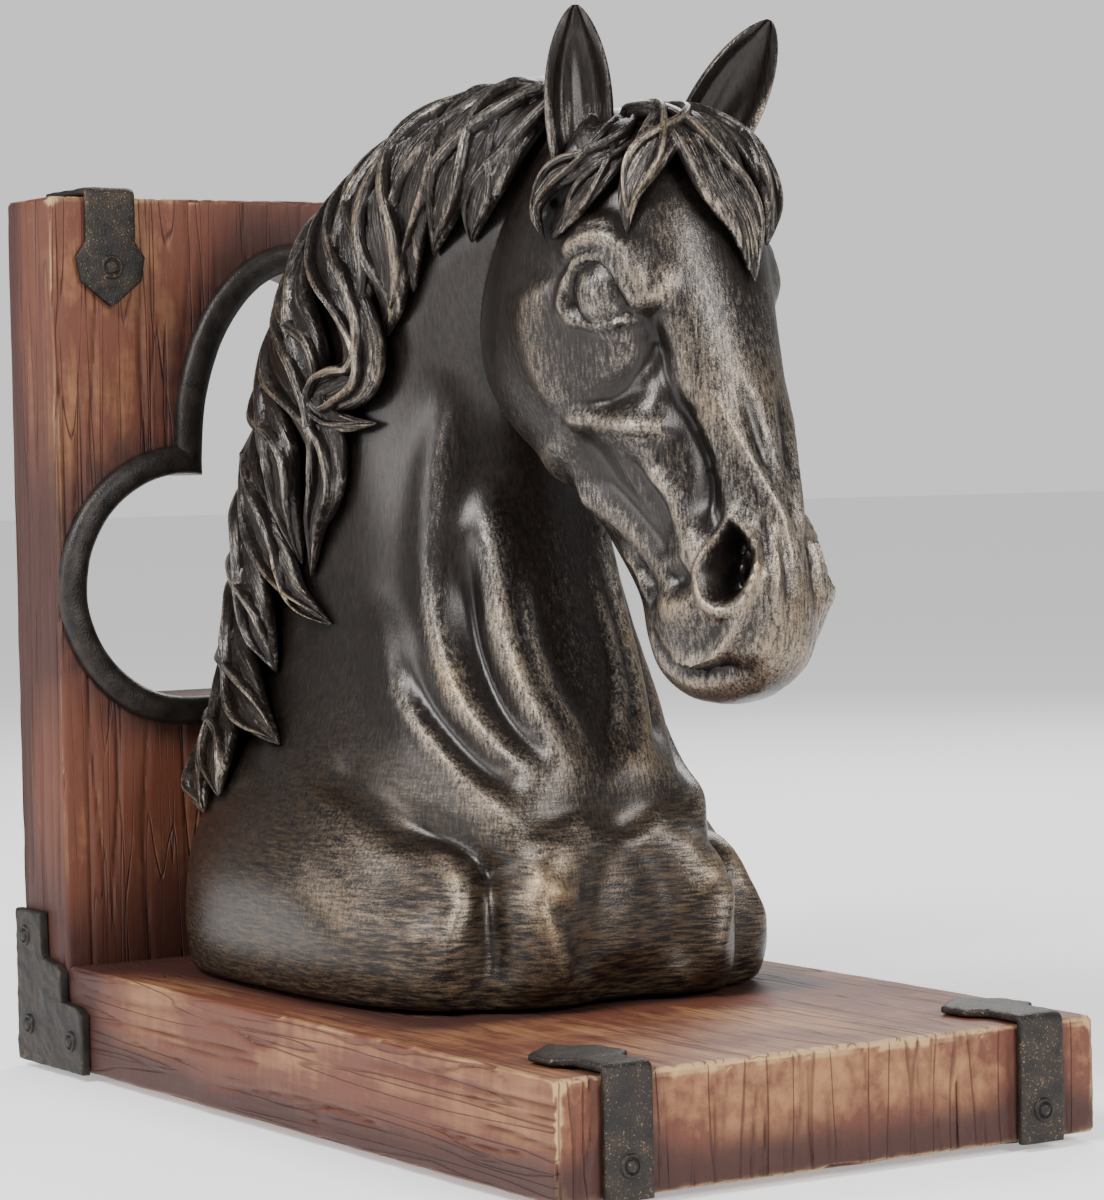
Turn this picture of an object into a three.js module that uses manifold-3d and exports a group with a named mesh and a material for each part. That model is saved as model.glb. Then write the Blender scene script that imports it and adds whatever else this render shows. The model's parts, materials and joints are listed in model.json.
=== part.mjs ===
// Horse head bookend: a base board and an upright board with iron fittings,
// a trefoil opening with a raised rim, and a horse's head and neck standing on the base.
// Millimetres, +Z up, the horse faces +X, the origin under the feet at the footprint's centre.
import * as THREE from "three";
import { mergeVertices } from "three/addons/utils/BufferGeometryUtils.js";
import Module from "manifold-3d";

const wasm = await Module();
wasm.setup();

// Boards
const BOARD_RUN = 214; // from the upright's back face to the base's front end
const BOARD_WIDTH = 118;
const BOARD_THICK = 22;
const UPRIGHT_HEIGHT = 183.5;
const BOARD_ROUNDING = 2.2;
const FOOT_HEIGHT = 1.5;
const FOOT_RADIUS = 6;
const FOOT_INSET = 13;

// Iron fittings
const PLATE = 1.8;
const RIVET_RADIUS = 2.2;
const RIVET_PROUD = 1;
const STRAP_WIDTH = 10;
const STRAP_FROM_SIDE = 14; // from the board's side to the strap's middle
const STRAP_OFFSET = BOARD_WIDTH / 2 - STRAP_FROM_SIDE;
const STRAP_REACH = 24;
const STRAP_FLARE = 16;
const TOP_STRAP_WIDTH = 11.5;
const TOP_STRAP_FROM_SIDE = 13.5;
const TOP_STRAP_OFFSET = BOARD_WIDTH / 2 - TOP_STRAP_FROM_SIDE;
const TOP_STRAP_DROP = 23;
const TOP_STRAP_FLARE = 16;
const TOP_STRAP_REACH = 18;
const BRACKET_RUN = 32; // along the base, from the back face
const BRACKET_RISE = 32.5; // up the upright

// The boards and the fittings on their front end share the footprint's centre
const BACK_X = -(BOARD_RUN + PLATE + RIVET_PROUD) / 2;
const INNER_X = BACK_X + BOARD_THICK;
const FRONT_X = BACK_X + BOARD_RUN;
const DECK_Z = FOOT_HEIGHT + BOARD_THICK;

// Trefoil opening, in heights above the board's underside; its rim fits between the board's sides
const RIM_WIDTH = 6.2;
const RIM_PROUD = 2.6;
const RIM_TO_SIDE = 0.1;
const TOP_RAIL = 15.5; // wood left above the opening
const TOP_LOBE_HALF = 25;
const TOP_LOBE_RISE = 40; // from the middle of the top lobe to its peak
const LOBE_STEP = 27; // from the side lobes' middles up to the top lobe's
const SIDE_LOBE_RADIUS = 23.7;
const TOP_LOBE_PEAK = UPRIGHT_HEIGHT - TOP_RAIL;
const TOP_LOBE_CENTRE = TOP_LOBE_PEAK - TOP_LOBE_RISE;
const SIDE_LOBE_CENTRE = TOP_LOBE_CENTRE - LOBE_STEP;
const SIDE_LOBE_OFFSET = BOARD_WIDTH / 2 - RIM_TO_SIDE - RIM_WIDTH - SIDE_LOBE_RADIUS;

// The bust's height from the base to the poll is shared out in 170 modules, which its
// stations, relief and locks are given in.
const BUST_HEIGHT = 170;
const MODULE = BUST_HEIGHT / 170;

// Head: the face line starts at the forelock and runs down the nose
const HEAD_LENGTH = 104 * MODULE;
const HEAD_TURN = THREE.MathUtils.degToRad(11);
const HEAD_PITCH = THREE.MathUtils.degToRad(18);
const HEAD_START = new THREE.Vector3(166, 6.6, 169).multiplyScalar(MODULE);
HEAD_START.z += BOARD_THICK;

const UPWARD = new THREE.Vector3(0, 0, 1);
const TURN_PIVOT = new THREE.Vector3(100, 0, 0).multiplyScalar(MODULE);
const TURN_SHARE = 0.6; // how much of the head's turn the neck takes with it
const DEGREES = 180 / Math.PI;
const EYE = [0.29, -0.135, 0.168]; // down the face, out of it and to the side, in head lengths
const NOSTRIL = [0.815, -0.062, 0.1];
const EYE_RADII = [6, 4.8, 5.6]; // in modules: out of the face, sideways and down it
const NOSTRIL_RADII = [5.2, 5, 7.6];
const EAR_HALF = 8 * MODULE;
const EAR_SHELL = 1.8 * MODULE;
const EAR_RINGS = 7;
const EAR_FACING = {
  right: new THREE.Vector3(0.75, -0.66, 0.1),
  left: new THREE.Vector3(0.9, -0.1, -0.3),
};
const LOCK_RINGS = 6;
const MANE_LOCKS = 12;
const MANE_TOP = 11.6;
const MANE_FOOT = 3.6;
const MANE_CLEARANCE = 0.6; // between the mane and the trefoil rim
// Forelock: root and tip as station and degrees on the head, and width
const FORELOCKS = [
  [[0.01, 10], [0.17, 44], 6],
  [[-0.01, 30], [0.15, 80], 8],
  [[0, 0], [0.3, -6], 7],
  [[0, -24], [0.26, -30], 7],
  [[-0.02, -50], [0.17, -72], 7],
];

const iron = { color: 0x37302b, roughness: 0.62, metalness: 0.7 };
const bronze = { color: 0x4a3c33, roughness: 0.42, metalness: 0.75 };
const wood = { color: 0x96583c, roughness: 0.7, metalness: 0 };
const pad = { color: 0x1c1a18, roughness: 0.85, metalness: 0 };

function solid(geometry) {
  const bare = new THREE.BufferGeometry();
  bare.setAttribute("position", geometry.getAttribute("position"));
  if (geometry.index) bare.setIndex(geometry.index);
  const merged = mergeVertices(bare, 1e-4);
  const triVerts = new Uint32Array(merged.index.array);
  const vertProperties = new Float32Array(merged.attributes.position.array);
  return new wasm.Manifold(new wasm.Mesh({ numProp: 3, vertProperties, triVerts }));
}

function geometryOf(body) {
  const made = body.getMesh();
  const geometry = new THREE.BufferGeometry();
  geometry.setAttribute("position", new THREE.BufferAttribute(new Float32Array(made.vertProperties), 3));
  geometry.setIndex(new THREE.BufferAttribute(new Uint32Array(made.triVerts), 1));
  return geometry;
}

function mesh(name, body, finish) {
  const geometry = geometryOf(body);
  const made = new THREE.Mesh(geometry, new THREE.MeshStandardMaterial(finish));
  made.name = name;
  return made;
}

// A closed body through rings of equal length, each ring running round the axis
// anticlockwise as seen from the last ring; both ends close on their middle point.
function loft(rings) {
  const around = rings[0].length;
  const points = rings.flat();
  const faces = [];
  for (let i = 0; i + 1 < rings.length; i++) {
    for (let j = 0; j < around; j++) {
      const k = (j + 1) % around;
      const a = i * around;
      const b = a + around;
      faces.push(a + j, a + k, b + k, a + j, b + k, b + j);
    }
  }
  for (const [ring, last] of [[0, false], [rings.length - 1, true]]) {
    const middle = new THREE.Vector3();
    for (const point of rings[ring]) middle.addScaledVector(point, 1 / around);
    points.push(middle);
    const centre = points.length - 1;
    for (let j = 0; j < around; j++) {
      const k = (j + 1) % around;
      const edge = last ? [j, k] : [k, j];
      faces.push(centre, ring * around + edge[0], ring * around + edge[1]);
    }
  }
  const geometry = new THREE.BufferGeometry().setFromPoints(points);
  geometry.setIndex(faces);
  return solid(geometry);
}

// Values of a station table between its rows, smooth through every row.
function between(table, at) {
  const last = table.length - 1;
  let i = 0;
  while (i < last - 1 && table[i + 1][0] <= at) i++;
  const [a, b, c, d] = [table[Math.max(i - 1, 0)], table[i], table[i + 1], table[Math.min(i + 2, last)]];
  const s = Math.min(Math.max((at - b[0]) / (c[0] - b[0]), 0), 1);
  return b.map((from, n) => {
    const run = c[0] - b[0];
    const m0 = i > 0 ? ((c[n] - a[n]) / (c[0] - a[0])) * run : c[n] - from;
    const m1 = i + 2 <= last ? ((d[n] - from) / (d[0] - b[0])) * run : c[n] - from;
    const [s2, s3] = [s * s, s * s * s];
    return (2 * s3 - 3 * s2 + 1) * from + (s3 - 2 * s2 + s) * m0 + (3 * s2 - 2 * s3) * c[n] + (s3 - s2) * m1;
  });
}

const power = (value, exponent) => Math.sign(value) * Math.abs(value) ** exponent;

const downFace = new THREE.Vector3(
  Math.sin(HEAD_PITCH) * Math.cos(HEAD_TURN),
  Math.sin(HEAD_PITCH) * Math.sin(HEAD_TURN),
  -Math.cos(HEAD_PITCH),
);
const leftward = new THREE.Vector3(-Math.sin(HEAD_TURN), Math.cos(HEAD_TURN), 0);
const outOfFace = new THREE.Vector3().crossVectors(downFace, leftward);

function headPlace(down, out, left) {
  return HEAD_START.clone()
    .addScaledVector(downFace, down * HEAD_LENGTH)
    .addScaledVector(outOfFace, out * HEAD_LENGTH)
    .addScaledVector(leftward, left * HEAD_LENGTH);
}

// Body stations, rising from the base to the poll, above the base and from the upright's
// back face, in modules:
// step, back x and z, front x and z, half width, squareness, share of the head's turn.
const BODY = [
  [0, 26, 0, 147, 0, 46, 0.62, 0],
  [1, 25, 12, 149.5, 10, 48, 0.66, 0],
  [2, 25, 26, 149, 22, 47, 0.7, 0],
  [3, 25.5, 38, 145, 34, 42, 0.78, 0],
  [4, 27, 52, 140, 46, 33, 0.85, 0.05],
  [5, 29, 68, 134.5, 58, 28.5, 0.9, 0.1],
  [6, 32, 88, 128, 73, 26, 0.92, 0.2],
  [7, 37, 110, 123, 88, 25, 0.95, 0.35],
  [8, 46, 132, 119, 101, 23.5, 1, 0.5],
  [9, 61, 153, 118, 112, 22, 1, 0.7],
  [10, 86, 167.5, 121, 121, 20, 1, 0.85],
  [11, 112, 174, 130, 128, 18, 1, 1],
  [12, 134, 173, 143, 134, 15, 1, 1],
];

// Head stations in shares of its length, from the poll to the lips:
// distance down the face, height of the face line, height of the jaw line, half width, fullness above.
const HEAD = [
  [-0.07, -0.16, -0.34, 0.07, 0],
  [0, -0.07, -0.46, 0.125, 0.1],
  [0.08, -0.015, -0.56, 0.16, 0.2],
  [0.18, 0.005, -0.62, 0.186, 0.25],
  [0.29, 0.005, -0.64, 0.19, 0.2],
  [0.4, 0, -0.6, 0.178, 0.1],
  [0.5, -0.005, -0.53, 0.157, 0.05],
  [0.6, -0.012, -0.46, 0.132, 0],
  [0.7, -0.018, -0.42, 0.116, -0.05],
  [0.8, -0.022, -0.39, 0.116, 0],
  [0.88, -0.035, -0.385, 0.13, 0],
  [0.95, -0.06, -0.37, 0.118, -0.1],
  [1.01, -0.1, -0.32, 0.092, -0.1],
  [1.04, -0.16, -0.26, 0.045, 0],
];

// Muscles and furrows as soft ridges on both sides: height, spread, then the line's points.
// A point is a station and the angle from the chest's or the face's midline, in degrees.
const BODY_RELIEF = [
  [-3.5, 3.5, [-0.2, 0], [3.4, 0]],
  [3.2, 4.5, [7.8, 28], [6, 29], [5, 24], [4, 13], [3.3, 5]],
  [2.8, 4.5, [7.6, 46], [6, 50], [5, 45], [4.2, 34], [3.6, 20], [3, 11]],
  [-2.2, 3.5, [7.3, 37], [5.6, 38], [4.6, 28], [3.7, 12]],
  [2.2, 5, [5.5, 66], [4.4, 58], [3.7, 42], [3.2, 28], [2.6, 17]],
  [-2.4, 4, [3.6, 78], [3.1, 60], [3, 45], [2.5, 32], [1.5, 29], [0.2, 28]],
  [1.5, 8, [1.3, 48], [0.5, 44]],
  [-3.2, 13, [3.6, 42], [2.3, 54]],
  [2, 12, [2, 80], [1.5, 70]],
  [3, 5.5, [2.6, 13], [1.8, 15], [0.6, 14]],
];
const HEAD_RELIEF = [
  [2.2, 3.2, [0.37, 45], [0.28, 46], [0.21, 52], [0.18, 64], [0.21, 78]],
  [-2.2, 3, [0.36, 50], [0.42, 55], [0.46, 68], [0.48, 82]],
  [2, 3.4, [0.2, 88], [0.3, 94], [0.4, 96], [0.48, 94], [0.52, 80], [0.57, 68]],
  [-2, 3.6, [0.42, 54], [0.55, 58], [0.66, 58], [0.74, 62]],
  [1.6, 4, [0.54, 82], [0.62, 83], [0.7, 82], [0.78, 80]],
  [-1.6, 4, [0.53, 104], [0.62, 106], [0.74, 96]],
  [1.6, 4, [0.62, 128], [0.68, 110], [0.78, 98]],
  [1.2, 3.4, [0.5, 110], [0.5, 132], [0.52, 150]],
  [-2, 2.4, [0.86, 128], [0.93, 118], [0.97, 95], [0.985, 60], [0.985, 20]],
  [2.4, 4, [0.73, 52], [0.78, 36], [0.86, 32]],
  [2, 4, [0.76, 74], [0.84, 78], [0.9, 60]],
];

const BODY_STEP = 15; // modules a station and a degree stand for, near enough for the relief
const BODY_DEGREE = 0.75;
const HEAD_STEP = 104;
const HEAD_DEGREE = 0.42;

// Height of the relief at a station and angle: the ridges' bell-shaped profiles added up.
function reliefAt(relief, station, degrees, perStation, perDegree) {
  let height = 0;
  for (const [rise, spread, ...line] of relief) {
    let nearest = Infinity;
    for (let i = 0; i + 1 < line.length; i++) {
      const from = new THREE.Vector2(line[i][0] * perStation, line[i][1] * perDegree);
      const along = new THREE.Vector2(line[i + 1][0] * perStation, line[i + 1][1] * perDegree).sub(from);
      const here = new THREE.Vector2(station * perStation, degrees * perDegree).sub(from);
      const share = THREE.MathUtils.clamp(here.dot(along) / along.lengthSq(), 0, 1);
      nearest = Math.min(nearest, here.addScaledVector(along, -share).length());
    }
    height += rise * Math.exp(-((nearest / spread) ** 2));
  }
  return height * MODULE;
}

function bodyBase(station, angle) {
  const [, backX, backZ, frontX, frontZ, half, square, turn] = between(BODY, station);
  const along = power(Math.cos(angle), square);
  const across = power(Math.sin(angle), square);
  const x = (backX + frontX) / 2 + (along * (frontX - backX)) / 2;
  const z = (backZ + frontZ) / 2 + (along * (frontZ - backZ)) / 2;
  const point = new THREE.Vector3(x, across * half, z).multiplyScalar(MODULE).sub(TURN_PIVOT);
  point.applyAxisAngle(UPWARD, HEAD_TURN * turn * TURN_SHARE).add(TURN_PIVOT);
  point.z += BOARD_THICK;
  return point;
}

function headBase(station, angle) {
  const [, top, bottom, half, full] = between(HEAD, station);
  const rise = power(Math.cos(angle), 0.85);
  const side = -power(Math.sin(angle), 0.9);
  const out = (top + bottom) / 2 + (rise * (top - bottom)) / 2;
  return headPlace(station, out, side * half * (1 + full * rise));
}

// The outward direction at a place of a surface, from its neighbours.
function outwardAt(surface, station, angle, step) {
  const along = surface(station + step, angle).sub(surface(station - step, angle));
  const round = surface(station, angle + 0.05).sub(surface(station, angle - 0.05));
  return round.cross(along).normalize();
}

// Degrees from the front midline, 0 to 180, the same on either side.
const fromMidline = (angle) => Math.abs(THREE.MathUtils.euclideanModulo(angle * DEGREES + 180, 360) - 180);

function bodyPoint(station, angle) {
  const height = reliefAt(BODY_RELIEF, station, fromMidline(angle), BODY_STEP, BODY_DEGREE);
  const outward = outwardAt(bodyBase, station, angle, 0.05);
  outward.z *= THREE.MathUtils.smoothstep(station, 0, 0.6);
  return bodyBase(station, angle).addScaledVector(outward, height);
}

function headPoint(station, angle) {
  const height = reliefAt(HEAD_RELIEF, station, fromMidline(angle), HEAD_STEP, HEAD_DEGREE);
  return headBase(station, angle).addScaledVector(outwardAt(headBase, station, angle, 0.01), height);
}

// Rings of a surface, their points drawn together where `crowd` asks for finer form.
function rings(pointAt, from, to, count, around, crowd) {
  return Array.from({ length: count + 1 }, (_, i) =>
    Array.from({ length: around }, (_, j) =>
      pointAt(from + ((to - from) * i) / count, crowd((j / around) * 2 * Math.PI))));
}

function ball(centre, radii, wide = 10, high = 7) {
  const geometry = new THREE.SphereGeometry(1, wide, high);
  geometry.scale(...radii.map((radius) => radius * MODULE));
  geometry.applyMatrix4(new THREE.Matrix4().makeBasis(outOfFace, leftward, downFace.clone().negate()));
  return solid(geometry.translate(...centre));
}

// A cupped ear from base to tip: its section is a crescent whose hollow looks along `facing`.
function ear(base, tip, facing) {
  const axis = tip.clone().sub(base);
  const side = new THREE.Vector3().crossVectors(facing, axis).normalize();
  const back = new THREE.Vector3().crossVectors(axis, side).normalize().negate();
  const sections = Array.from({ length: EAR_RINGS + 1 }, (_, i) => {
    const share = i / EAR_RINGS;
    const half = EAR_HALF * (1.01 - share) ** 0.7 * (0.6 + 1.4 * share);
    const shell = Math.min(EAR_SHELL, half * 0.5);
    const depth = half * 0.8 + EAR_SHELL * 0.22;
    const outer = [-100, -65, -32, 0, 32, 65, 100].map((a) => [a / DEGREES, half, depth]);
    const inner = [80, 45, 0, -45, -80].map((a) => [a / DEGREES, half - shell, depth - shell]);
    const middle = base.clone().addScaledVector(axis, share);
    return [...outer, ...inner].map(([a, across, deep]) =>
      middle.clone()
        .addScaledVector(side, Math.sin(a) * across)
        .addScaledVector(back, Math.cos(a) * deep - half * 0.25));
  });
  return loft(sections);
}

// A lock of hair lying on a surface: root and tip as station and degrees, a sideways wave,
// its greatest width and how far it stands out; it tapers to the tip.
function lock(surface, step, [rootStation, rootDegrees], [tipStation, tipDegrees], wave, width, lift) {
  const sections = [];
  const place = (share) => {
    const station = THREE.MathUtils.lerp(rootStation, tipStation, share ** 1.4)
      + wave * Math.sin(share * 2 * Math.PI);
    const angle = THREE.MathUtils.lerp(rootDegrees, tipDegrees, share) / DEGREES;
    return [station, angle];
  };
  for (let i = 0; i <= LOCK_RINGS; i++) {
    const share = i / LOCK_RINGS;
    const [station, angle] = place(share);
    const outward = outwardAt(surface, station, angle, step);
    const ahead = surface(...place(Math.min(share + 0.03, 1))).sub(surface(...place(Math.max(share - 0.03, 0))));
    const across = new THREE.Vector3().crossVectors(ahead.normalize(), outward).normalize();
    const half = MODULE * (width / 2) * Math.sin(Math.PI * Math.min(0.28 + share * 0.72, 0.97)) ** 0.8;
    const rise = MODULE * lift * (0.9 * share * (1.3 - share) - 0.05);
    const middle = surface(station, angle).addScaledVector(outward, rise);
    sections.push([0, 300, 240, 180, 120, 60].map((a) =>
      middle.clone()
        .addScaledVector(across, Math.cos(a / DEGREES) * half)
        .addScaledVector(outward, Math.sin(a / DEGREES) * half * 0.75)));
  }
  return loft(sections);
}

// The horse, from the base to the poll, with head, eyes, nostrils, ears and mane as one body.
function horse() {
  const trunk = loft(rings(bodyPoint, 0, 12, 28, 34, (a) => a - 0.45 * Math.sin(a)));
  const skull = loft(rings(headPoint, -0.07, 1.04, 27, 32, (a) => a + 0.25 * Math.sin(2 * a)));
  let bust = trunk.add(skull);
  for (const side of [1, -1]) {
    const eye = headPlace(EYE[0], EYE[1], side * EYE[2]);
    const nostril = headPlace(NOSTRIL[0], NOSTRIL[1], side * NOSTRIL[2]);
    bust = bust.subtract(ball(nostril, NOSTRIL_RADII)).add(ball(eye, EYE_RADII));
  }
  bust = bust.add(ear(headPlace(0.06, -0.22, -0.1), headPlace(-0.25, -0.13, -0.104), EAR_FACING.right));
  bust = bust.add(ear(headPlace(0.05, -0.19, 0.11), headPlace(-0.166, 0.03, 0.2), EAR_FACING.left));
  for (let i = 0; i < MANE_LOCKS; i++) {
    const share = i / (MANE_LOCKS - 1);
    const root = THREE.MathUtils.lerp(MANE_TOP, MANE_FOOT, share);
    const tip = Math.max(root - 1.25 + 0.35 * Math.sin(i * 2.4), 2.2);
    const reach = -THREE.MathUtils.lerp(78, 114, share ** 1.5) - 9 * Math.sin(i * 2.1);
    const lift = 4 + 4 * Math.sin(Math.PI * share ** 2);
    bust = bust.add(lock(bodyBase, 0.05, [root, -172], [tip, reach], 0.35, 11, lift));
    if (i % 2 === 0) {
      bust = bust.add(lock(bodyBase, 0.05, [root, 192], [tip, 146 + 8 * Math.sin(i)], 0.3, 12, 3));
    }
  }
  for (const [root, tip, width] of FORELOCKS) {
    bust = bust.add(lock(headBase, 0.01, root, tip, 0.012, width, 3));
  }
  // The mane is flattened where it would meet the rim.
  const clear = BOARD_THICK + RIM_PROUD + MANE_CLEARANCE;
  const wall = new THREE.BoxGeometry(clear * 2, 2 * BOARD_WIDTH, 3 * UPRIGHT_HEIGHT);
  return bust.subtract(solid(wall));
}

// The trefoil's outline, widened all round by `grow`: the sill, a side lobe, the top lobe
// and the other side lobe, in the board's plane.
function trefoil(grow) {
  const half = TOP_LOBE_HALF + grow;
  const radius = SIDE_LOBE_RADIUS + grow;
  const notch = SIDE_LOBE_CENTRE + Math.sqrt(radius ** 2 - (half - SIDE_LOBE_OFFSET) ** 2);
  const springing = Math.max(TOP_LOBE_CENTRE, notch);
  const turn = Math.atan2(notch - SIDE_LOBE_CENTRE, half - SIDE_LOBE_OFFSET);
  const arc = (x, z, a, b, from, to, count) =>
    new THREE.EllipseCurve(x, z, a, b, from, to).getPoints(count);
  return [
    ...arc(SIDE_LOBE_OFFSET, SIDE_LOBE_CENTRE, radius, radius, -Math.PI / 2, turn, 13),
    ...arc(0, springing, half, TOP_LOBE_PEAK + grow - springing, 0, Math.PI, 18),
    ...arc(-SIDE_LOBE_OFFSET, SIDE_LOBE_CENTRE, radius, radius, Math.PI - turn, 1.5 * Math.PI, 13),
  ];
}

// A board lying in the XY plane with its underside at 0, all its edges softened.
function board(length, width, thick) {
  const [x, y] = [length / 2 - BOARD_ROUNDING, width / 2 - BOARD_ROUNDING];
  const shape = new THREE.Shape([[-x, -y], [x, -y], [x, y], [-x, y]].map((p) => new THREE.Vector2(...p)));
  const geometry = new THREE.ExtrudeGeometry(shape, {
    depth: thick - 2 * BOARD_ROUNDING,
    bevelThickness: BOARD_ROUNDING,
    bevelSize: BOARD_ROUNDING,
    bevelSegments: 3,
  });
  return solid(geometry.translate(0, 0, BOARD_ROUNDING));
}

// A flat plate of an outline, its near face at 0 and its far face at `thick`.
function plate(points, thick) {
  const shape = new THREE.Shape(points.map(([x, y]) => new THREE.Vector2(x, y)));
  return solid(new THREE.ExtrudeGeometry(shape, { depth: thick, bevelEnabled: false }));
}

// Turns a piece drawn flat so that it stands on its lower edge and its face looks along +X.
const standUp = (body) => body.rotate([90, 0, 90]);

function rivet(x, y, z) {
  const dome = new THREE.SphereGeometry(RIVET_RADIUS, 10, 4);
  dome.scale(1, 1, RIVET_PROUD / RIVET_RADIUS);
  return solid(dome.translate(x, y, z));
}

function uprightPanel() {
  const opening = new THREE.ExtrudeGeometry(new THREE.Shape(trefoil(0)), {
    depth: BOARD_THICK + 2,
    bevelEnabled: false,
  });
  return board(BOARD_WIDTH, UPRIGHT_HEIGHT, BOARD_THICK)
    .translate([0, UPRIGHT_HEIGHT / 2, 0])
    .subtract(solid(opening.translate(0, 0, -1)));
}

// The raised rim round the trefoil: a rounded band between the outline and a wider one.
function trefoilRim() {
  const section = [[0, 0], [0, 1.4], [1.4, RIM_PROUD], [RIM_WIDTH - 1.8, RIM_PROUD], [RIM_WIDTH, 1], [RIM_WIDTH, 0]];
  const loops = section.map(([grow, rise]) => trefoil(grow).map(({ x, y }) => new THREE.Vector3(x, y, rise)));
  const count = loops[0].length;
  const faces = [];
  for (let i = 0; i < loops.length; i++) {
    for (let j = 0; j < count; j++) {
      const next = ((i + 1) % loops.length) * count;
      const k = (j + 1) % count;
      faces.push(i * count + j, next + j, next + k, i * count + j, next + k, i * count + k);
    }
  }
  const geometry = new THREE.BufferGeometry().setFromPoints(loops.flat());
  geometry.setIndex(faces);
  return solid(geometry);
}

// A strap bent over the base's front edge: one leg down the end, the other back over the top
// to a shield-shaped end. Its corner is at the origin, the base behind and below it.
function frontStrap() {
  const half = STRAP_WIDTH / 2;
  const flare = STRAP_FLARE / 2;
  const leg = plate([[-half, -BOARD_THICK], [half, -BOARD_THICK], [half, 0], [-half, 0]], PLATE);
  const down = standUp(leg.add(rivet(0, -BOARD_THICK + 6, PLATE)));
  const top = plate([
    [PLATE, half], [-STRAP_REACH + 16, half], [-STRAP_REACH + 13, flare], [-STRAP_REACH + 6, flare],
    [-STRAP_REACH, 0],
    [-STRAP_REACH + 6, -flare], [-STRAP_REACH + 13, -flare], [-STRAP_REACH + 16, -half], [PLATE, -half],
  ], PLATE);
  return down.add(top);
}

// A strap bent over the upright's top edge, ending on the inner face in a pointed shield
// with a ringed rivet. Its corner is the upright's top inner edge.
function topStrap() {
  const half = TOP_STRAP_WIDTH / 2;
  const flare = TOP_STRAP_FLARE / 2;
  const drop = -TOP_STRAP_DROP;
  const front = plate([
    [-half, PLATE], [-half, drop + 13], [-flare, drop + 10], [-flare + 1, drop + 5],
    [0, drop],
    [flare - 1, drop + 5], [flare, drop + 10], [half, drop + 13], [half, PLATE],
  ], PLATE);
  const face = standUp(front.add(rivet(0, drop + 8, PLATE)));
  return face.add(plate([[0, -half], [0, half], [-TOP_STRAP_REACH, half], [-TOP_STRAP_REACH, -half]], PLATE));
}

// A corner bracket on a side face: a plate whose upper edge comes down in steps, each a share
// of its run and its rise.
function cornerBracket() {
  const steps = [
    [0, 0], [1, 0], [1, 0.385], [0.906, 0.431], [0.6875, 0.446], [0.6875, 0.631],
    [0.625, 0.677], [0.406, 0.708], [0.3875, 1], [0, 1],
  ];
  const rivets = [[0.156, 0.831], [0.1875, 0.246], [0.831, 0.203]];
  const placed = ([run, rise]) => [run * BRACKET_RUN, rise * BRACKET_RISE];
  let bracket = plate(steps.map(placed), PLATE);
  for (const share of rivets) bracket = bracket.add(rivet(...placed(share), PLATE));
  return bracket;
}

const bookend = new THREE.Group();
bookend.name = "bookend";

function add(name, body, finish, x, y, z) {
  const made = mesh(name, body, finish);
  made.position.set(x, y, z);
  bookend.add(made);
  return made;
}

const baseRun = BOARD_RUN - BOARD_THICK;
add("base_board", board(baseRun, BOARD_WIDTH, BOARD_THICK), wood, INNER_X + baseRun / 2, 0, FOOT_HEIGHT);

add("upright_panel", standUp(uprightPanel()), wood, BACK_X, 0, FOOT_HEIGHT);
add("trefoil_rim", standUp(trefoilRim()), bronze, INNER_X, 0, FOOT_HEIGHT);
add("horse_bust", horse(), bronze, BACK_X, 0, FOOT_HEIGHT);

for (const [hand, side] of [["right", -1], ["left", 1]]) {
  add(`front_strap_${hand}`, frontStrap(), iron, FRONT_X, side * STRAP_OFFSET, DECK_Z);
  const top = UPRIGHT_HEIGHT + FOOT_HEIGHT;
  add(`top_strap_${hand}`, topStrap(), iron, INNER_X, side * TOP_STRAP_OFFSET, top);
  const bracket = add(`corner_bracket_${hand}`, cornerBracket(), iron, BACK_X, side * (BOARD_WIDTH / 2), FOOT_HEIGHT);
  bracket.rotation.x = Math.PI / 2;
  if (side > 0) bracket.scale.z = -1;
  for (const [end, x] of [["back", BACK_X + FOOT_INSET], ["front", FRONT_X - FOOT_INSET]]) {
    const disc = new THREE.CylinderGeometry(FOOT_RADIUS, FOOT_RADIUS, FOOT_HEIGHT, 16).rotateX(Math.PI / 2);
    const y = side * (BOARD_WIDTH / 2 - FOOT_INSET);
    add(`foot_${end}_${hand}`, solid(disc), pad, x, y, FOOT_HEIGHT / 2);
  }
}

export default bookend;
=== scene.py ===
"""Horse head bookend: the looks of a bronze-painted horse's bust before a trefoil window,
on two worn boards held by dark iron fittings."""
import json
import logging
from dataclasses import dataclass, replace
from enum import Enum
from typing import Callable, ClassVar, Sequence, Union

import bmesh
import bpy
import numpy as np
from mathutils import Matrix, Vector

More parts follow.
